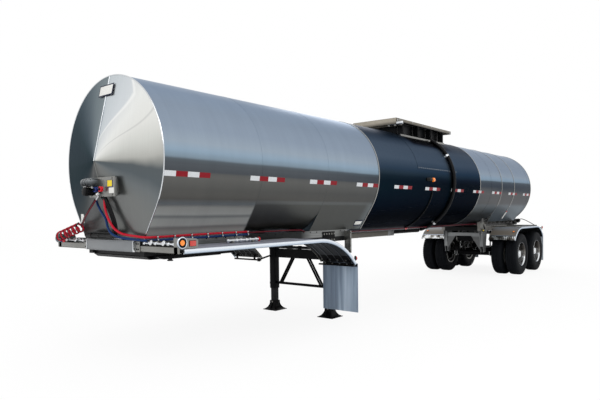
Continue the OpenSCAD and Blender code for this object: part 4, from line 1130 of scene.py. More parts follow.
def makeFrontGuards():
    size = dict(top=1.232, bend=2.2, radius=1.1, sweep=48, inner=0.6, ribs=(0.655, 0.775, 0.895, 1.015, 1.135))
    path = [(at(s, 0, size["top"]), Vector(toTop)) for s in (0.02, 0.45, 0.9, 1.35, 1.8)]
    for k in range(33):
        a = radians(size["sweep"]) * k / 32
        path.append((at(size["bend"] + size["radius"] * sin(a), 0, size["top"] - size["radius"] * (1 - cos(a))),
            Vector((-sin(a), 0, cos(a)))))
    for side, label, node in ((1, "Left", "front_fender_left"), (-1, "Right", "front_fender_right")):
        piece = Piece("frontGuard" + label)
        sheet = [(size["inner"], -0.005), (1.198, -0.005), (1.198, 0.0), (size["inner"], 0.0)]
        piece.ribbon(path, mirrored(sheet, side), "sheet")
        lip = [(1.1965, -0.044), (1.201, -0.046), (1.209, -0.045), (1.214, -0.04), (1.216, -0.03), (1.216, -0.01),
            (1.2135, 0.0), (1.208, 0.0052), (1.2, 0.006), (1.193, 0.004), (1.19, -0.002), (1.196, -0.008)]
        piece.ribbon(path, mirrored(lip, side), "lip")
        inner = [(0.598, -0.026), (0.604, -0.026), (0.604, 0.003), (0.598, 0.003)]
        piece.ribbon(path, mirrored(inner, side), "mill")
        for y in size["ribs"]:
            rib = [(y - 0.007, -0.0045), (y - 0.005, -0.015), (y + 0.005, -0.015), (y + 0.007, -0.0045)]
            piece.ribbon(path[5:], mirrored(rib, side), "rib")
        # pressed lines along the deck's top
        for y in (0.72, 0.96):
            rib = [(y - 0.012, -0.001), (y - 0.007, 0.0025), (y + 0.007, 0.0025), (y + 0.012, -0.001)]
            piece.ribbon(path[:-6], mirrored(rib, side), "sheet")
        # doubler with its bolts at the low end
        strip = [(0.606, -0.013), (1.194, -0.013), (1.194, -0.004), (0.606, -0.004)]
        piece.ribbon(path[-6:], mirrored(strip, side), "black")
        spot, out = path[-3]
        for y in (0.64, 0.78, 0.92, 1.06, 1.17):
            bolt("bolt", spot + Vector((0, side * y, 0)) - out * 0.013, -out)
        # arms from the frame
        for s in (0.7, 1.5, 2.12):
            for wide, z in ((0.006, (1.187, 1.2265)), (0.05, (1.2215, 1.2265)), (0.05, (1.187, 1.192))):
                piece.box((s, s + wide), span(side, rail["front"], 1.186), z, "mill", 0.001)
        # brace behind the bend, on a post from the frame
        braceS = 3.0465 if side > 0 else 2.967
        piece.box((2.952, 2.984), span(side, 0.59, 1.186), (0.816, 0.839), "black", 0.003)
        for y in (0.73, 1.13):
            piece.box((2.952, 2.984), about(side * y, 0.009), (0.838, 0.9), "black", 0.002)
        piece.box((braceS, braceS + 0.012), about(side * 0.64, 0.029), (0.802, 0.858), "black", 0.002)
        piece.bar(at(braceS + 0.006, side * 0.64, 0.832), at(3.7, side * 0.64, 0.96), 0.0138, "black", 16)
        for s in (3.681, 3.713):
            piece.box((s, s + 0.006), span(side, rail["front"], 0.655), (0.942, 1.288), "mill", 0.001)
        piece.box((3.681, 3.719), about(side * 0.652, 0.003), (0.942, 1.288), "mill", 0.001)
        for z in (0.97, 1.06, 1.16, 1.26):
            bolt("bolt", at(3.7, side * 0.655, z), (0, side, 0))
        for z in (1.01, 1.12, 1.22):
            bolt("bolt", at(3.681, side * 0.6, z), toFront)
        # marker lamp at the low corner
        corner, facing = at(3.028, side * 1.176, 0.93), (-0.75, side * 0.6, 0)
        piece.turned(drum(0, 0.014, 0.034), corner, facing, "rubber", 20)
        piece.turned([(0.012, 0), (0.012, 0.029), (0.024, 0.026), (0.032, 0.014), (0.034, 0)], corner, facing, "red",
            20)
        piece.done("trailer", "fender_sheet", node)


def makeFlaps():
    size = dict(rib=0.0022, ribs=13)
    piece = Piece("mudFlaps")
    for s, low, high, floor, top in ((3.038, 0.604, 1.214, 0.165, 0.856), (12.15, 0.59, 1.2, 0.22, 0.905),
            (12.15, -1.2, -0.59, 0.22, 0.905)):
        wave, steps = [], size["ribs"] * 8
        for k in range(steps + 1):
            t = k / steps
            rise = max(0.0, cos(2 * pi * t * size["ribs"])) ** 3
            wave.append((s + 0.003 - size["rib"] * rise, low + (high - low) * t))
        piece.prism(wave + [(s + 0.0075, high), (s + 0.0075, low)], floor, top, "z", "flap")
        piece.box((s - 0.006, s + 0.0005), (low + 0.004, high - 0.004), (top - 0.046, top - 0.002), "black", 0.001)
        for k in range(5):
            bolt("bolt", at(s - 0.006, low + 0.05 + k * (high - low - 0.1) / 4, top - 0.024), toFront)
    piece.done("trailer", "flap_rubber", "mud_flaps", sharp=50)


def makeLandingGear():
    size = dict(s=3.26, y=0.562, crank=0.88)
    s = size["s"]
    piece = Piece("landingGear")
    for side in (1, -1):
        y = side * size["y"]
        foot = at(s, y, 0)
        piece.tower(foot, [(0.351, 0.054), (0.353, 0.057), (0.42, 0.057), (0.424, 0.06), (0.452, 0.06),
            (0.456, 0.057), (1.122, 0.057), (1.125, 0.054)], "black", 0.01)
        piece.tower(foot, [(0.118, 0.044), (0.121, 0.046), (0.349, 0.046), (0.3517, 0.043)], "darkSteel", 0.008)
        piece.tower(foot, [(0.0, 0.14), (0.003, 0.143), (0.008, 0.143), (0.011, 0.126), (0.018, 0.117), (0.03, 0.1),
            (0.05, 0.084), (0.075, 0.071), (0.098, 0.063), (0.148, 0.061), (0.15, 0.058)], "black", 0.01)
        piece.bar(at(s, y - 0.075, 0.112), at(s, y + 0.075, 0.112), 0.016, "darkSteel", 18)
        for k in (-1, 1):   # ribs on the shoe
            piece.prism([(s + k * 0.062, 0.13), (s + k * 0.062, 0.011), (s + k * 0.128, 0.011)], y - 0.004, y + 0.004,
                "y", "black")
        bolt("bolt", at(s - 0.061, y, 0.128), toFront)
        # plate on the frame rail with its bolts and gussets
        piece.box(about(s, 0.149), span(side, rail["front"], 0.56), (1.136, 1.289), "black", 0.003)
        for ds in (-0.125, -0.065, 0.0, 0.065, 0.125):
            for z in (1.165, 1.255):
                bolt("bolt", at(s + ds, side * 0.56, z), (0, side, 0))
        for ds in (-0.09, 0.09):
            inward = s + ds - math.copysign(0.033, ds)
            piece.prism([(s + ds, 1.135), (inward, 1.135), (inward, 0.98)], *span(side, 0.5605, 0.619), "y", "black")
    # gearbox, crank and cross shaft
    piece.box(about(s, 0.075), (0.6192, 0.668), (0.79, 0.955), "black", 0.014)
    piece.turned([(0, 0), (0, 0.03), (0.014, 0.03), (0.018, 0.016), (0.04, 0.016), (0.04, 0)],
        at(s, 0.667, size["crank"]), toLeft, "black", 20)
    crank = [(s, 0.7, size["crank"]), (s + 0.01, 0.716, size["crank"] - 0.01),
        (s + 0.02, 0.722, size["crank"] - 0.06), (s + 0.02, 0.722, 0.61), (s + 0.022, 0.722, 0.56),
        (s + 0.04, 0.722, 0.545), (s + 0.13, 0.722, 0.545)]
    piece.line(crank, 0.011, "black", 12, 5)
    piece.bar(at(s - 0.02, -0.506, 1.03), at(s - 0.02, 0.506, 1.03), 0.022, "darkSteel", 20)
    for y in (-0.47, 0.0, 0.47):
        piece.turned(drum(-0.03, 0.03, 0.029), at(s - 0.02, y, 1.03), toLeft, "black", 18)
    for z in (0.815, 0.93, 0.815, 0.93):
        bolt("smallBolt", at(s + 0.058, 0.668, z), toLeft)
    piece.done("trailer", "black_frame", "landing_legs", "landing_feet")


def frameBolts():
    for side in (1, -1):
        for k in range(24):
            s = 0.12 + k * 0.15
            if abs(s - 3.26) > 0.17:
                bolt("smallBolt", at(s, side * 0.5482, 1.29), (0, side, 0))
        for k in range(15):
            bolt("smallBolt", at(9.56 + k * 0.165, side * 0.4962, 1.2), (0, side, 0))
        for axle in wheel["axles"]:
            for ds, z in ((-0.705, 1.06), (-0.6, 1.06), (-0.5, 1.06), (-0.65, 0.8), (-0.56, 0.8), (-0.585, 0.62)):
                bolt("bolt", at(axle + ds, side * 0.4962, z), (0, side, 0))
    for y in (-0.4, -0.2, 0.0, 0.2, 0.4):
        for s in (0.3, 1.25):
            bolt("bolt", at(s, y, 1.105), toTop)


# running gear

def makeRunningGear():
    size = dict(beam=0.458, chamber=0.078)
    piece = Piece("axleFittings")
    for axle in wheel["axles"]:
        for side in (1, -1):
            # brake chamber, its rod and slack arm
            spot = at(axle - 0.235, side * 0.33, 0.64)
            piece.turned([(0, 0), (0, 0.06), (0.012, size["chamber"] - 0.006), (0.06, size["chamber"]),
                (0.066, size["chamber"] + 0.007), (0.078, size["chamber"] + 0.007), (0.084, size["chamber"]),
                (0.15, size["chamber"] - 0.004), (0.17, 0.055), (0.172, 0)], spot, toFront, "black", 28)
            piece.bar(spot, at(axle + 0.02, side * 0.33, 0.64), 0.009, "steel", 10)
            piece.slab(at(axle + 0.02, side * 0.33, 0.58), (0.03, 0.022, 0.15), "black", 0.006)
            piece.turned(drum(-0.02, 0.02, 0.034), at(axle + 0.02, side * 0.33, 0.52), toLeft, "black", 18)
            piece.box((axle - 0.235, axle - 0.225), about(side * 0.33, 0.05), (0.545, 0.73), "black", 0.002)
            # clamps that hold the beam to the axle
            for ds in (-0.068, 0.068):
                loop = [at(axle + ds, side * size["beam"] + dy, z) for dy,
                    z in ((-0.031, 0.65), (-0.031, 0.5), (-0.028, 0.455), (-0.012, 0.436), (0.012, 0.436),
                    (0.028, 0.455), (0.031, 0.5), (0.031, 0.65))]
                piece.tube(curved(loop, 3), 0.009, "steel", 10)
            piece.box(about(axle, 0.09), about(side * size["beam"], 0.045), (0.638, 0.652), "black", 0.003)
            # shock absorber
            top, low = at(axle + 0.12, side * 0.395, 1.06), at(axle + 0.06, side * 0.395, 0.6)
            piece.bar(low, top, 0.018, "steel", 16)
            piece.bar(low.lerp(top, 0.42), low.lerp(top, 0.98), 0.03, "black", 20)
    piece.done("trailer", "black_frame")

    springs = Piece("airBellows")
    for axle in wheel["axles"]:
        for side in (1, -1):
            base = at(axle + 0.3, side * size["beam"], 0.647)
            springs.turned([(0, 0), (0, 0.058), (0.07, 0.052), (0.088, 0.07), (0.092, 0)], base, toTop, "darkSteel",
                32)
            fold = [(0.088, 0), (0.088, 0.074)]
            for k in range(25):
                fold.append((0.098 + 0.28 * k / 24, 0.086 + 0.025 * abs(sin(pi * 2 * k / 24)) ** 0.7))
            springs.turned(fold + [(0.386, 0.078), (0.386, 0)], base, toTop, "rubber", 40)
            springs.turned([(0.385, 0), (0.385, 0.09), (0.392, 0.092), (0.398, 0.09), (0.398, 0.03), (0.441, 0.028),
                (0.441, 0)], base, toTop, "steel", 32)
    springs.done("trailer", "black_hose", "air_springs")


def makeWheels():
    tyre = dict(groove=0.494, lugs=58)
    rim = dict(lip=0.118, disc=-0.136, bolts=10, boltCircle=0.1428, holes=10, holeCircle=0.203, hole=0.024)
    wall = [(-0.106, 0.2882), (-0.121, 0.301), (-0.126, 0.318), (-0.13, 0.335), (-0.1365, 0.362), (-0.1395, 0.388),
        (-0.138, 0.42), (-0.132, 0.448), (-0.125, 0.47), (-0.118, 0.483), (-0.106, 0.492), (-0.095, 0.4985)]
    crown = [(-0.088, 0.5025)]
    for groove in (-0.058, -0.02, 0.02, 0.058):
        crown += [(groove - 0.0065, 0.5068), (groove - 0.005, tyre["groove"]), (groove + 0.005, tyre["groove"]),
            (groove + 0.0065, 0.5068)]
    crown += [(0.088, 0.5025)]
    section = wall + crown + [(-y, r) for y, r in reversed(wall)]
    outerRim = [(rim["lip"], 0.2874), (0.1205, 0.286), (0.1205, 0.28), (0.115, 0.274), (0.106, 0.268), (0.09, 0.2645),
        (0.03, 0.26), (-0.05, 0.254), (-0.09, 0.246), (-0.104, 0.238), (-0.116, 0.236), (-0.118, 0.25),
        (-0.118, 0.2874)]
    innerRim = [(0.117, 0.2874), (0.117, 0.262), (-0.06, 0.256), (-0.11, 0.266), (-0.1175, 0.28), (-0.1175, 0.2874)]
    for end, axle in zip(("Front", "Rear"), wheel["axles"]):
        for side, label in ((1, "Left"), (-1, "Right")):
            place = end.lower() + "_" + label.lower()
            body = "wheels_" + place
            rubber = Piece("tyres" + end + label)
            for y in (wheel["inner"], wheel["outer"]):
                rubber.turned(section, at(axle, side * y, wheel["radius"]), toLeft, "tyre", 96, ring=True)
            rubber.done(body, "tyre", "tyres_" + place)
            spots = []
            for y in (wheel["inner"], wheel["outer"]):
                for edge in (-1, 1):
                    for a in turns(tyre["lugs"], 0.5 * (edge > 0)):
                        tilt = Vector((cos(a), edge * 0.55, sin(a))).normalized()
                        spot = at(axle, side * y + edge * 0.1045, wheel["radius"]) + upright(a) * 0.4935
                        spots.append((spot, tilt, Vector((-sin(a), 0, cos(a)))))
            grown("shoulderLugs" + end + label, bladesNodes, {"Size": Vector((0.03, 0.026, 0.0075)),
                "Finish": look["tyre"]}, body, spots)

            bright = Piece("rims" + end + label)
            centre, inside = (at(axle, side * wheel[which], wheel["radius"]) for which in ("outer", "inner"))
            out = (0, side, 0)
            bright.turned(outerRim, centre, out, "rim", 72, ring=True)
            bright.holedDisc(centre, side, (0.165, 0.24), (rim["disc"] - 0.002, -0.11), rim["holes"], rim["hole"],
                rim["holeCircle"], 0.01, "rim")
            bright.turned([(rim["disc"] - 0.013, 0.108), (rim["disc"], 0.108), (rim["disc"], 0.16),
                (rim["disc"] + 0.001, 0.168), (rim["disc"] - 0.01, 0.168)], centre, out, "rim", 60, ring=True)
            hub = [(-0.152, 0.052), (-0.152, 0.11), (-0.12, 0.109), (-0.06, 0.106), (-0.052, 0.1), (0.03, 0.092),
                (0.05, 0.09), (0.058, 0.086), (0.058, 0.052)]
            bright.turned(hub, centre, out, "chrome", 48, ring=True)
            bright.turned([(0.056, 0), (0.056, 0.082), (0.066, 0.083), (0.07, 0.078), (0.08, 0.074), (0.085, 0.062),
                (0.0875, 0.03), (0.0878, 0)], centre, out, "chrome", 48)
            bright.turned(innerRim, inside, out, "mill", 60, ring=True)
            bright.turned([(0.038, 0.052), (0.038, 0.204), (-0.06, 0.2045), (-0.064, 0.2), (-0.07, 0.2045),
                (-0.089, 0.2045), (-0.089, 0.182), (0.006, 0.182), (0.01, 0.052)], inside, out, "darkSteel", 60,
                ring=True)
            bright.turned([(0.04, 0.111), (0.04, 0.246), (0.05, 0.258), (0.127, 0.258), (0.127, 0.24), (0.06, 0.236),
                (0.052, 0.111)], inside, out, "mill", 48, ring=True)
            bright.turned([(0.05, 0.052), (0.05, 0.11), (0.19, 0.11), (0.19, 0.052)], inside, out, "black", 40,
                ring=True)
            bright.done(body, "polished_rim", "rims_" + place)
            for a in turns(rim["bolts"], 0.5):
                spot = centre + upright(a) * rim["boltCircle"]
                bolt("wheelNut", spot + Vector((0, side * rim["disc"], 0)), out, body)
            for a in turns(8):
                bolt("capBolt", centre + Vector((cos(a) * 0.0765, side * 0.0665, sin(a) * 0.0765)), out, body)


def makeRearGuards():
    size = dict(radius=0.655, low=0.87, inner=0.577)
    first = math.degrees(math.asin((size["low"] - wheel["radius"]) / size["radius"]))
    path = []
    for k in range(25):
        a = radians(first + (90 - first) * k / 24)
        path.append((at(wheel["axles"][0] - size["radius"] * cos(a), 0, wheel["radius"] + size["radius"] * sin(a)),
            upright(a)))
    for k in range(1, 4):
        path.append((at(wheel["axles"][0] + 1.245 * k / 4, 0, wheel["radius"] + size["radius"]), Vector(toTop)))
    for k in range(25):
        a = radians(90 - (90 - first) * k / 24)
        path.append((at(wheel["axles"][1] + size["radius"] * cos(a), 0, wheel["radius"] + size["radius"] * sin(a)),
            Vector((-cos(a), 0, sin(a)))))
    for side, label, node in ((1, "Left", "rear_fender_left"), (-1, "Right", "rear_fender_right")):
        piece = Piece("rearGuard" + label)
        piece.ribbon(path, mirrored([(size["inner"], -0.005), (1.203, -0.005), (1.203, -0.0005),
            (size["inner"], -0.0005)], side), "guardFace")
        lip = [(1.199, -0.036), (1.205, -0.038), (1.212, -0.036), (1.2155, -0.03), (1.216, -0.02), (1.215, -0.008),
            (1.211, -0.001), (1.204, 0.0), (1.199, -0.003), (1.202, -0.01)]
        piece.ribbon(path, mirrored(lip, side), "lip")
        piece.ribbon(path, mirrored([(0.576, -0.022), (0.581, -0.022), (0.581, 0.0), (0.576, 0.0)], side), "mill")
        # bright quilted strips low on the front and the rear
        for part, lift, finish in ((path[:5], 0.002, "quilt"), (path[-5:], 0.002, "quilt"),
                (path[4:6], 0.0035, "lip"), (path[-6:-4], 0.0035, "lip")):
            strip = [(0.584, -0.001), (1.2, -0.001), (1.2, lift), (0.584, lift)]
            piece.ribbon(part, mirrored(strip, side), finish)
        for k in range(9):
            bolt("smallBolt", path[4][0] + Vector((0, side * (0.62 + k * 0.068), 0)) + path[4][1] * 0.003, path[4][1])
        # arms from the frame
        for axle in wheel["axles"]:
            for front, rear, z in ((-0.029, -0.023, (1.1625, 1.19)), (0.013, 0.019, (1.1625, 1.19)),
                    (-0.029, 0.019, (1.1855, 1.1915))):
                piece.box((axle + front, axle + rear), span(side, rail["rear"], 1.194), z, "mill", 0.001)
        # marker lamp on the face
        a = radians(57.5)
        out = upright(a)
        spot = at(wheel["axles"][0] - size["radius"] * cos(a), side * 1.12, wheel["radius"] + size["radius"] * sin(a))
        piece.turned([(-0.004, 0), (-0.004, 0.03), (0.005, 0.031), (0.008, 0.026), (0.008, 0)], spot, out, "rubber",
            24)
        piece.turned([(0.006, 0), (0.006, 0.0235), (0.014, 0.02), (0.018, 0.01), (0.019, 0)], spot, out, "amber", 24)
        # rear corner marker on its bracket
        piece.slab(at(12.06, side * 1.15, 1.095), (0.06, 0.09, 0.006), "mill", 0.001)
        piece.slab(at(12.086, side * 1.185, 1.08), (0.006, 0.02, 0.06), "mill", 0.001)
        corner, facing = at(12.1, side * 1.186, 1.112), (-0.35, side, 0)
        piece.turned(drum(-0.012, 0.004, 0.034), corner, facing, "rubber", 20)
        piece.turned([(0.002, 0), (0.002, 0.029), (0.014, 0.025), (0.02, 0.012), (0.021, 0)], corner, facing, "red",
            20)
        piece.done("trailer", "fender_sheet", node)


# the rear end and what hangs below it

def makeRearFittings():
    pipeZ = 1.01
    piece = Piece("outletFittings")
    centre = at(12.15, 0, pipeZ)
    for low, crest, high in ((0.018, 0.03, 0.034), (0.054, 0.064, 0.07)):
        flange = [(low, 0.0388), (low, 0.078), (crest, 0.08), (high, 0.078), (high, 0.0388)]
        piece.turned(flange, centre, toRear, "steel", 36, ring=True)
    for a in turns(8):
        for s, facing in ((12.116 + 0.016, 1), (12.22, -1)):
            bolt("bolt", at(s, 0.07 * cos(a), pipeZ + 0.07 * sin(a)), (facing, 0, 0))
    # cam arms of the coupling
    for side in (1, -1):
        piece.line([(12.205, side * 0.064, pipeZ + 0.01), (12.19, side * 0.083, pipeZ - 0.01),
            (12.175, side * 0.083, pipeZ - 0.06)], 0.007, "steel", 10, 5)
    # hanger strap of the pipe
    piece.turned(collar(0.015, 0.0445, 0.05), at(11.7, 0, pipeZ), toFront, "mill", 28, ring=True)
    piece.box((11.685, 11.715), (-0.006, 0.006), (1.058, 1.215), "mill", 0.001)
    # valves and boxes above the left mudguard
    for s, y, z, r, length in ((11.96, 0.56, 1.305, 0.045, 0.09), (12.08, 0.52, 1.29, 0.052, 0.08),
            (11.62, 0.6, 1.25, 0.03, 0.07), (11.5, 0.6, 1.25, 0.03, 0.07)):
        piece.turned([(0, 0), (0, r * 0.6), (0.008, r), (length * 0.45, r), (length * 0.5, r * 1.12),
            (length * 0.6, r * 1.12), (length * 0.65, r), (length, r * 0.8), (length + 0.006, 0)], at(s, y, z),
            toLeft, "rubber", 24)
    piece.box((11.88, 12.14), (0.5, 0.512), (1.19, 1.345), "black", 0.004)
    piece.box((11.42, 11.7), (0.497, 0.59), (1.2, 1.225), "black", 0.004)
    piece.line([(12.08, 0.6, 1.33), (12.06, 0.66, 1.34), (12.1, 0.74, 1.31), (12.13, 0.88, 1.23), (12.1, 1.05, 1.14),
        (12.085, 1.17, 1.095)], 0.009, "rubber")
    for y in (-0.9, 0.9):
        piece.box((12.188, 12.1905), about(y, 0.15), (0.6, 0.62), "mill", 0)
    # white rod with a red tip on the flank
    low, high = at(10.4, 0.69, 1.375), at(10.5, 0.782, 1.56)
    piece.bar(low, low.lerp(high, 0.9), 0.0125, "whiteTag", 14)
    piece.bar(low.lerp(high, 0.9), high, 0.013, "redPaint", 14)
    # brackets between the flanks and the mudguards
    for s in (9.76, 10.05, 10.33, 10.62, 10.95, 11.25, 11.575, 11.86):
        for side in (1, -1):
            piece.prism(mirrored([(0.497, 1.235), (0.497, 1.3), (0.57, 1.3)], side), s, s + 0.01, "s", "mill")
    # hoses and a valve beside the left hanger
    for shift in (0.0, 0.022, 0.044):
        drop = [(9.56 + shift, 0.47, 1.3), (9.5 + shift, 0.54, 1.25), (9.56 + shift, 0.56, 1.15),
            (9.64, 0.52, 1.08 + shift), (9.7, 0.44, 1.06 + shift)]
        piece.line(drop, 0.009, "rubber")
    piece.box((9.475, 9.5), (0.498, 0.56), (1.18, 1.41), "mill", 0.003)
    piece.slab(at(9.6, 0.535, 1.095), (0.07, 0.06, 0.06), "cast", 0.01)
    piece.slab(at(9.562, 0.54, 1.1), (0.006, 0.03, 0.03), "yellowTag", 0.002)
    piece.bar(at(9.6, 0.5, 1.06), at(9.6, 0.47, 1.0), 0.01, "steel", 10)
    # air tanks across the rear frame
    for s in (9.86, 10.1):
        piece.turned([(0, 0), (0.004, 0.06), (0.022, 0.096), (0.05, 0.108), (0.055, 0.11), (0.64, 0.11),
            (0.645, 0.108), (0.673, 0.096), (0.691, 0.06), (0.695, 0)], at(s, -0.3475, 0.93), toLeft, "black", 36)
        for y in (-0.22, 0.22):
            piece.turned(collar(0.014, 0.1098, 0.114), at(s, y, 0.93), toLeft, "mill", 36, ring=True)
            piece.box(about(s, 0.014), about(y, 0.005), (1.035, 1.1), "mill", 0.001)
    piece.done("trailer", "bright_steel")


def makeHoseTube():
    size = dict(start=3.9, end=7.15, y=(-0.7, -0.54), z=(1.06, 1.205), hose=8.43)
    piece = Piece("hoseTube")
    y0, y1 = size["y"]
    z0, z1 = size["z"]
    c = 0.028
    section = [(y0 + c, z0), (y1 - c, z0), (y1 - c * 0.3, z0 + c * 0.3), (y1, z0 + c), (y1, z1 - c),
        (y1 - c * 0.3, z1 - c * 0.3), (y1 - c, z1), (y0 + c, z1), (y0 + c * 0.3, z1 - c * 0.3), (y0, z1 - c),
        (y0, z0 + c), (y0 + c * 0.3, z0 + c * 0.3)]
    piece.prism(section, size["start"] + 0.006, size["end"] - 0.006, "s", "tubeMill")
    piece.box((size["start"], size["start"] + 0.014), (y0 + 0.002, y1 - 0.002), (z0 + 0.002, z1 - 0.002), "tubeMill",
        0.005)
    piece.box((size["end"] - 0.26, size["end"]), (y0 - 0.0005, y1 + 0.0005), (z0 - 0.0005, z1 + 0.0005), "hanger",
        0.006)
    for s in (size["start"] + 0.04, 4.9, 5.7):
        piece.prism([(y0 + 0.001, z0 + 0.001), (y1 - 0.001, z0 + 0.001), (y1 - 0.001, z1 - 0.001),
            (y0 + 0.001, z1 - 0.001)], s, s + 0.03, "s", "tubeMill", 0.004)
    piece.bar(at(size["start"] + 0.002, -0.6, 1.16), at(size["start"] + 0.002, -0.64, 1.16), 0.006, "steel", 10)
    # the end of the hose it holds, with its coupling
    ribs = [(0, 0)]
    for k in range(64):
        s = k * 0.018
        ribs += [(s, 0.044), (s + 0.006, 0.0475), (s + 0.012, 0.0475)]
    piece.turned(ribs + [(1.15, 0.044), (1.15, 0)], at(size["end"] - 0.004, -0.62, 1.135), toRear, "rubber", 24)
    piece.turned([(0, 0), (0, 0.046), (0.01, 0.05), (0.06, 0.05), (0.064, 0.044), (0.08, 0.044), (0.084, 0.05),
        (0.13, 0.05), (0.133, 0.046), (0.133, 0)], at(size["hose"] - 0.134, -0.62, 1.135), toRear, "darkSteel", 32)
    for s in (4.3, 5.6, 6.9, 8.22):
        foot = 1.175 if s > size["end"] else 1.203
        for start, end in ((s, s + 0.005), (s + 0.035, s + 0.04)):
            piece.box((start, end), (-0.64, -0.6), (foot, 1.452), "mill", 0.001)
        piece.box((s, s + 0.04), (-0.604, -0.6), (foot, 1.452), "mill", 0.001)
        for z in (1.23, 1.38):
            bolt("smallBolt", at(s + 0.02, -0.6, z), toLeft)
    piece.done("trailer", "bare_aluminium", "hose_tube")


# band side, ladder and top

def makeBandFittings():
    size = dict(conduit=0.011, hose=0.034, hoseS=6.86)
    piece = Piece("bandFittings")

    def around(s, degrees, lift):
        a = radians(degrees)
        return at(s, (tank["radius"] + lift) * cos(a), tank["middle"] + (tank["radius"] + lift) * sin(a))
    line = [around(6.0, -15 - 48 * k / 30, 0.013) for k in range(31)]
    piece.tube(line, size["conduit"], "rubber", 10)
    for k in range(7):
        a = -17 - 7.4 * k
        run = Vector((0, -sin(radians(a)), cos(radians(a))))
        piece.turned(collar(0.011, 0.0108, 0.014), around(6.0, a, 0.013), run, "darkSteel", 14, ring=True)
    piece.tube([around(6.0, -15 + k * 0.9, 0.013 - 0.003 * k) for k in range(5)], size["conduit"], "rubber", 10)
    spot = around(6.04, -68.5, 0.0)
    out = (spot - at(6.04, 0, tank["middle"])).normalized()
    piece.turned(drum(-0.004, 0.014, 0.03), spot, out, "rubber", 20)
    piece.turned([(0.012, 0), (0.012, 0.026), (0.034, 0.024), (0.046, 0.014), (0.048, 0)], spot, out, "red", 24)
    piece.tube([around(6.0 + 0.008 * max(0, k - 6), -63 - 0.75 * k, 0.013) for k in range(8)], size["conduit"],
        "rubber", 10)
    # clamps on the drain hose
    centre = size["hose"] + 0.002
    for degrees in (31.8, -56.0):
        run = Vector((0, -sin(radians(degrees)), cos(radians(degrees))))
        piece.turned(collar(0.02, 0.0335, 0.0385), around(size["hoseS"], degrees, centre), run, "chrome", 28,
            ring=True)
        spot = around(size["hoseS"] - 0.045, degrees, 0.006)
        out = (around(6, degrees, 1) - around(6, degrees, 0)).normalized()
        bolt("bolt", spot, out)
        bolt("bolt", around(size["hoseS"] + 0.045, degrees, 0.006), out)
        turn = Matrix((Vector(toFront), run, Vector(toFront).cross(run))).transposed()
        piece.slab(around(size["hoseS"], degrees, 0.003), (0.12, 0.036, 0.006), "chrome", 0.002, turn)
    for degrees in (55, 8, -20, -74):
        run = Vector((0, -sin(radians(degrees)), cos(radians(degrees))))
        piece.turned(collar(0.01, 0.0335, 0.0362), around(size["hoseS"], degrees, centre), run, "rubber", 24,
            ring=True)
    piece.done("trailer", "black_hose")


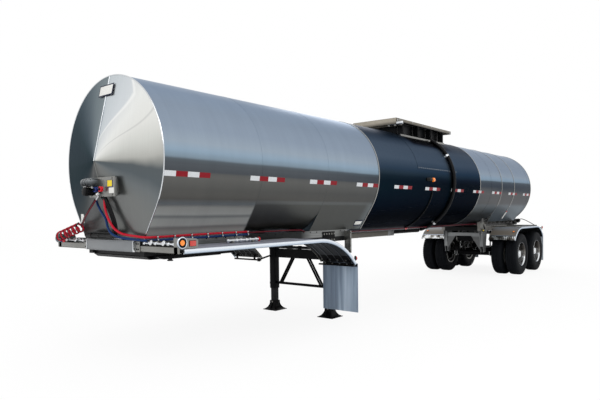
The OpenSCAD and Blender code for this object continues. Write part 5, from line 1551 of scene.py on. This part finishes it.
def makeWalkway():
    size = dict(half=0.47, top=3.3, deep=0.118, tray=((5.48, 5.712), (7.538, 7.86)), channel=(0.338, 0.47),
        channelDeep=0.06)
    piece = Piece("walkway")
    top = size["top"]
    for (s0, s1), deep in zip(size["tray"], (size["deep"], 0.062)):
        floor = top - deep
        piece.box((s0, s1), about(0, size["half"]), (top - 0.006, top - 0.0015), "deckMill", 0.001)
        for s in (s0, s1 - 0.005):
            piece.box((s, s + 0.005), about(0, size["half"]), (floor, top - 0.001), "deckMill", 0.002)
            piece.box((s, s + 0.022) if s == s0 else (s - 0.017, s + 0.005), about(0, size["half"]),
                (floor, floor + 0.005), "deckMill", 0.001)
        for y in (-size["half"], size["half"] - 0.005):
            piece.box((s0, s1), (y, y + 0.005), (floor, top - 0.001), "deckMill", 0.002)
        # bars under the deck, in the aluminium painted dark for shade
        for y in (-0.3, -0.1, 0.1, 0.3):
            piece.box((s0 + 0.005, s1 - 0.005), about(y, 0.003), (top - 0.046, top - 0.005), "shadowedMill", 0.001)
    for side in (1, -1):
        low, high = span(side, *size["channel"])
        inner, outer = (low, high) if side > 0 else (high, low)
        s0, s1 = size["tray"][0][1], size["tray"][1][0]
        piece.box((s0, s1), (low, high), (top - 0.006, top - 0.0015), "deckMill", 0.001)
        # the inner channel walls take the aluminium painted dark for shade
        for edge in (inner, outer):
            y0, y1 = (edge, edge + 0.005) if edge == low else (edge - 0.005, edge)
            piece.box((s0, s1), (y0, y1), (top - size["channelDeep"], top - 0.001),
                "deckMill" if edge == outer else "shadowedMill", 0.002)
        # rows of slots along the channel, drawn as bars of painted shade seen from below
        for k in range(24):
            s = s0 + 0.04 + k * 0.0755
            piece.box((s, s + 0.012), (low + 0.004, high - 0.004), (top - 0.036, top - 0.005), "shadowedMill", 0.001)
        # brackets down to the jacket, painted dark for the shade they lie in, with a strap between them
        for s in (5.75, 6.36, 6.91, 7.47):
            web = mirrored([(0.344, 3.24), (0.45, 3.24), (0.45, 2.985), (0.344, 3.03)], side)
            for front, rear in ((0, 0.006), (0.034, 0.04)):
                piece.prism(web, s + front, s + rear, "s", "shadowedMill")
            piece.box((s, s + 0.04), span(side, 0.344, 0.45), (3.2345, 3.24), "shadowedMill", 0.001)
            bolt("bolt", at(s + 0.02, side * 0.4, 3.2345), toFloor)
        piece.tube([at(s, side * 0.44, 3.014) for s in (5.7, 7.56)], 0.014, "mill", 12)
        piece.box((5.69, 7.57), about(side * 0.452, 0.004), (2.985, 3.01), "mill", 0.002)
        for s in (5.53, 7.8):
            piece.turned([(0, 0), (0, 0.017), (0.006, 0.019), (0.01, 0.014), (0.01, 0)], at(s, side * 0.47, 3.262),
                (0, side, 0), "steel", 16)
        for s in (5.6, 6.1, 6.5, 6.9, 7.3, 7.7):
            piece.turned([(0, 0), (0, 0.012), (0.008, 0.012), (0.01, 0.006), (0.01, 0)], at(s, side * 0.4695, 3.276),
                (0, side, 0), "steel", 12)
        # grab bar at the front corner
        piece.box((5.484, 5.512), span(side, 0.29, 0.6), (3.172, 3.226), "trim", 0.012)
        for y in (0.31, 0.43):
            piece.box((5.486, 5.51), about(side * y, 0.014), (3.15, 3.24), "mill", 0.003)
    piece.done("trailer", "bare_aluminium", "walkway")
    # raised tread on the deck plates
    spots = []
    middle = (size["tray"][0][1], size["tray"][1][0])
    areas = [(tray, about(0, size["half"])) for tray in size["tray"]]
    areas += [(middle, span(side, *size["channel"])) for side in (1, -1)]
    for (s0, s1), (y0, y1) in areas:
        across, down = int((s1 - s0) / 0.036), int((y1 - y0) / 0.036)
        for i in range(across):
            for j in range(down):
                run = Vector((1, 1, 0)) if (i + j) % 2 else Vector((1, -1, 0))
                spots.append((at(s0 + (i + 0.5) * (s1 - s0) / across, y0 + (j + 0.5) * (y1 - y0) / down,
                    top - 0.0012), Vector(toTop), run.normalized()))
    grown("deckTread", bladesNodes, {"Size": Vector((0.024, 0.0055, 0.0022)), "Finish": look["deckMill"]}, "trailer",
        spots)


def makeTopFittings():
    size = dict(s=6.3, dogs=6)
    piece = Piece("topFittings")
    centre = at(size["s"], 0, 0)
    for a in turns(size["dogs"], 0.5):
        out = Vector((cos(a), sin(a), 0))
        foot = centre + out * 0.3 + Vector((0, 0, 3.275))
        piece.slab(foot, (0.03, 0.026, 0.026), "steel", 0.004, Matrix.Rotation(a, 3, "Z"))
    # gasket ring under the lid
    piece.turned([(0, 0.246), (0, 0.27), (0.0004, 0.27), (0.0004, 0.246)], centre + Vector((0, 0, 3.31)), toTop,
        "rubber", 48, ring=True)
    # vent caps
    for s, y, radius, tall in ((5.89, 0, 0.078, 0.15), (7.11, -0.14, 0.06, 0.13), (7.35, 0.09, 0.082, 0.16)):
        base = at(s, y, tank["middle"] + 0.9 + 0.11 + tall)
        piece.turned([(-0.002, 0), (-0.002, radius * 0.96), (0.004, radius * 0.96), (0.01, radius * 0.8),
            (0.014, radius * 0.35), (0.015, 0)], base, toTop, "steel", 32)
        for a in turns(6):
            bolt("smallBolt", base + Vector((cos(a) * (radius + 0.012), sin(a) * (radius + 0.012), -0.026)), toTop)
    # rolled edge of the spill box
    edges = [((5.722, y), (7.528, y)) for y in (-0.3265, 0.3265)] + [((s, -0.3265), (s, 0.3265))
        for s in (5.7235, 7.5265)]
    for start, end in edges:
        piece.bar(at(*start, 3.2445), at(*end, 3.2445), 0.0048, "steel", 10)
    # pads under the ladder's stand-offs
    for s in (6.79, 7.17):
        for y, z in ((-0.834, 1.7), (-0.912, 2.42)):
            a = math.atan2(z - tank["middle"], y)
            reach = tank["radius"] + 0.004
            piece.slab(at(s, reach * cos(a), tank["middle"] + reach * sin(a)), (0.09, 0.012, 0.09), "steel", 0.003,
                Matrix.Rotation(a + pi / 2, 3, "X"))
    piece.done("trailer", "bright_steel")
    lid = Piece("lidFittings")
    for a in turns(6):
        out = Vector((cos(a), sin(a), 0))
        lid.slab(centre + out * 0.268 + Vector((0, 0, 3.331)), (0.036, 0.03, 0.01), "steel", 0.003,
            Matrix.Rotation(a, 3, "Z"))
    handle = [(-0.15, 0.08, 3.338), (-0.15, 0.08, 3.3545), (-0.15, 0.06, 3.3575), (-0.15, -0.06, 3.3575),
        (-0.15, -0.08, 3.3545), (-0.15, -0.08, 3.338)]
    lid.tube(curved([at(size["s"] + s, y, z) for s, y, z in handle], 5), 0.0022, "steel", 12)
    lid.turned([(0, 0), (0, 0.075), (0.006, 0.077), (0.0075, 0.07), (0.008, 0)], centre + Vector((0, 0, 3.3515)),
        toTop, "steel", 32)
    lid.done("manway_lid", "bright_steel")


def sowBolts():
    sizes = dict(rivet=(0.0075, 0.003, 0.0095, 0.0006, 8), bolt=(0.011, 0.0075, 0.015, 0.002, 6),
        smallBolt=(0.007, 0.0048, 0.0095, 0.0014, 6), wheelNut=(0.0185, 0.03, 0.0225, 0.004, 6),
        capBolt=(0.0055, 0.0035, 0.007, 0.001, 6))
    # small bolts take the aluminium painted dark for shade
    finishes = dict(rivet="steel", bolt="mill", smallBolt="shadowedMill", wheelNut="chrome", capBolt="chrome")
    for number, ((kind, body), spots) in enumerate(sorted(boltSpots.items())):
        head, tall, washer, thin, sides = sizes[kind]
        grown(kind + "s_" + body, spotsNodes, {"Head Radius": head, "Head Height": tall, "Washer Radius": washer,
            "Washer Height": thin, "Sides": sides, "Seed": number, "Finish": look[finishes[kind]]}, body,
            spots)


def dressNodes():
    # shapes that stay as built take their finishes
    # the spill box takes aluminium painted dark for the shade under the walkway; hangers and rear_frame carry painted
    # shade between their rails
    worn = dict(coupler_plate="black", kingpin="darkSteel", front_frame="frame", leg_braces="black",
        rear_frame="rearRail", hangers="hanger", axles="black", ladder="mill", spill_box="shadowedMill",
        manway_neck="steel", manway_lid="steel", vent_valves="steel", drain_hose="rubber", rear_bumper="mill",
        discharge_pipe="steel")
    for name, finish in worn.items():
        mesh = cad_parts[name].data
        mesh.materials.clear()
        mesh.materials.append(look[finish])


makeFrontBracket()
makeLines()
makeCoil()
makeBumper()
makeCornerLamps()
makeFrontGuards()
makeFlaps()
makeLandingGear()
frameBolts()
makeRunningGear()
makeWheels()
makeRearGuards()
makeRearFittings()
makeHoseTube()
makeBandFittings()
makeWalkway()
makeTopFittings()
sowBolts()
dressNodes()


def layFloor():
    half = 60.0
    data = bpy.data.meshes.new("floor")
    data.from_pydata([(-half, -half, 0), (half, -half, 0), (half, half, 0), (-half, half, 0)], [], [(0, 1, 2, 3)])
    data.materials.append(look["floor"])
    floor = bpy.data.objects.new("floor", data)
    bpy.context.scene.collection.objects.link(floor)


layFloor()
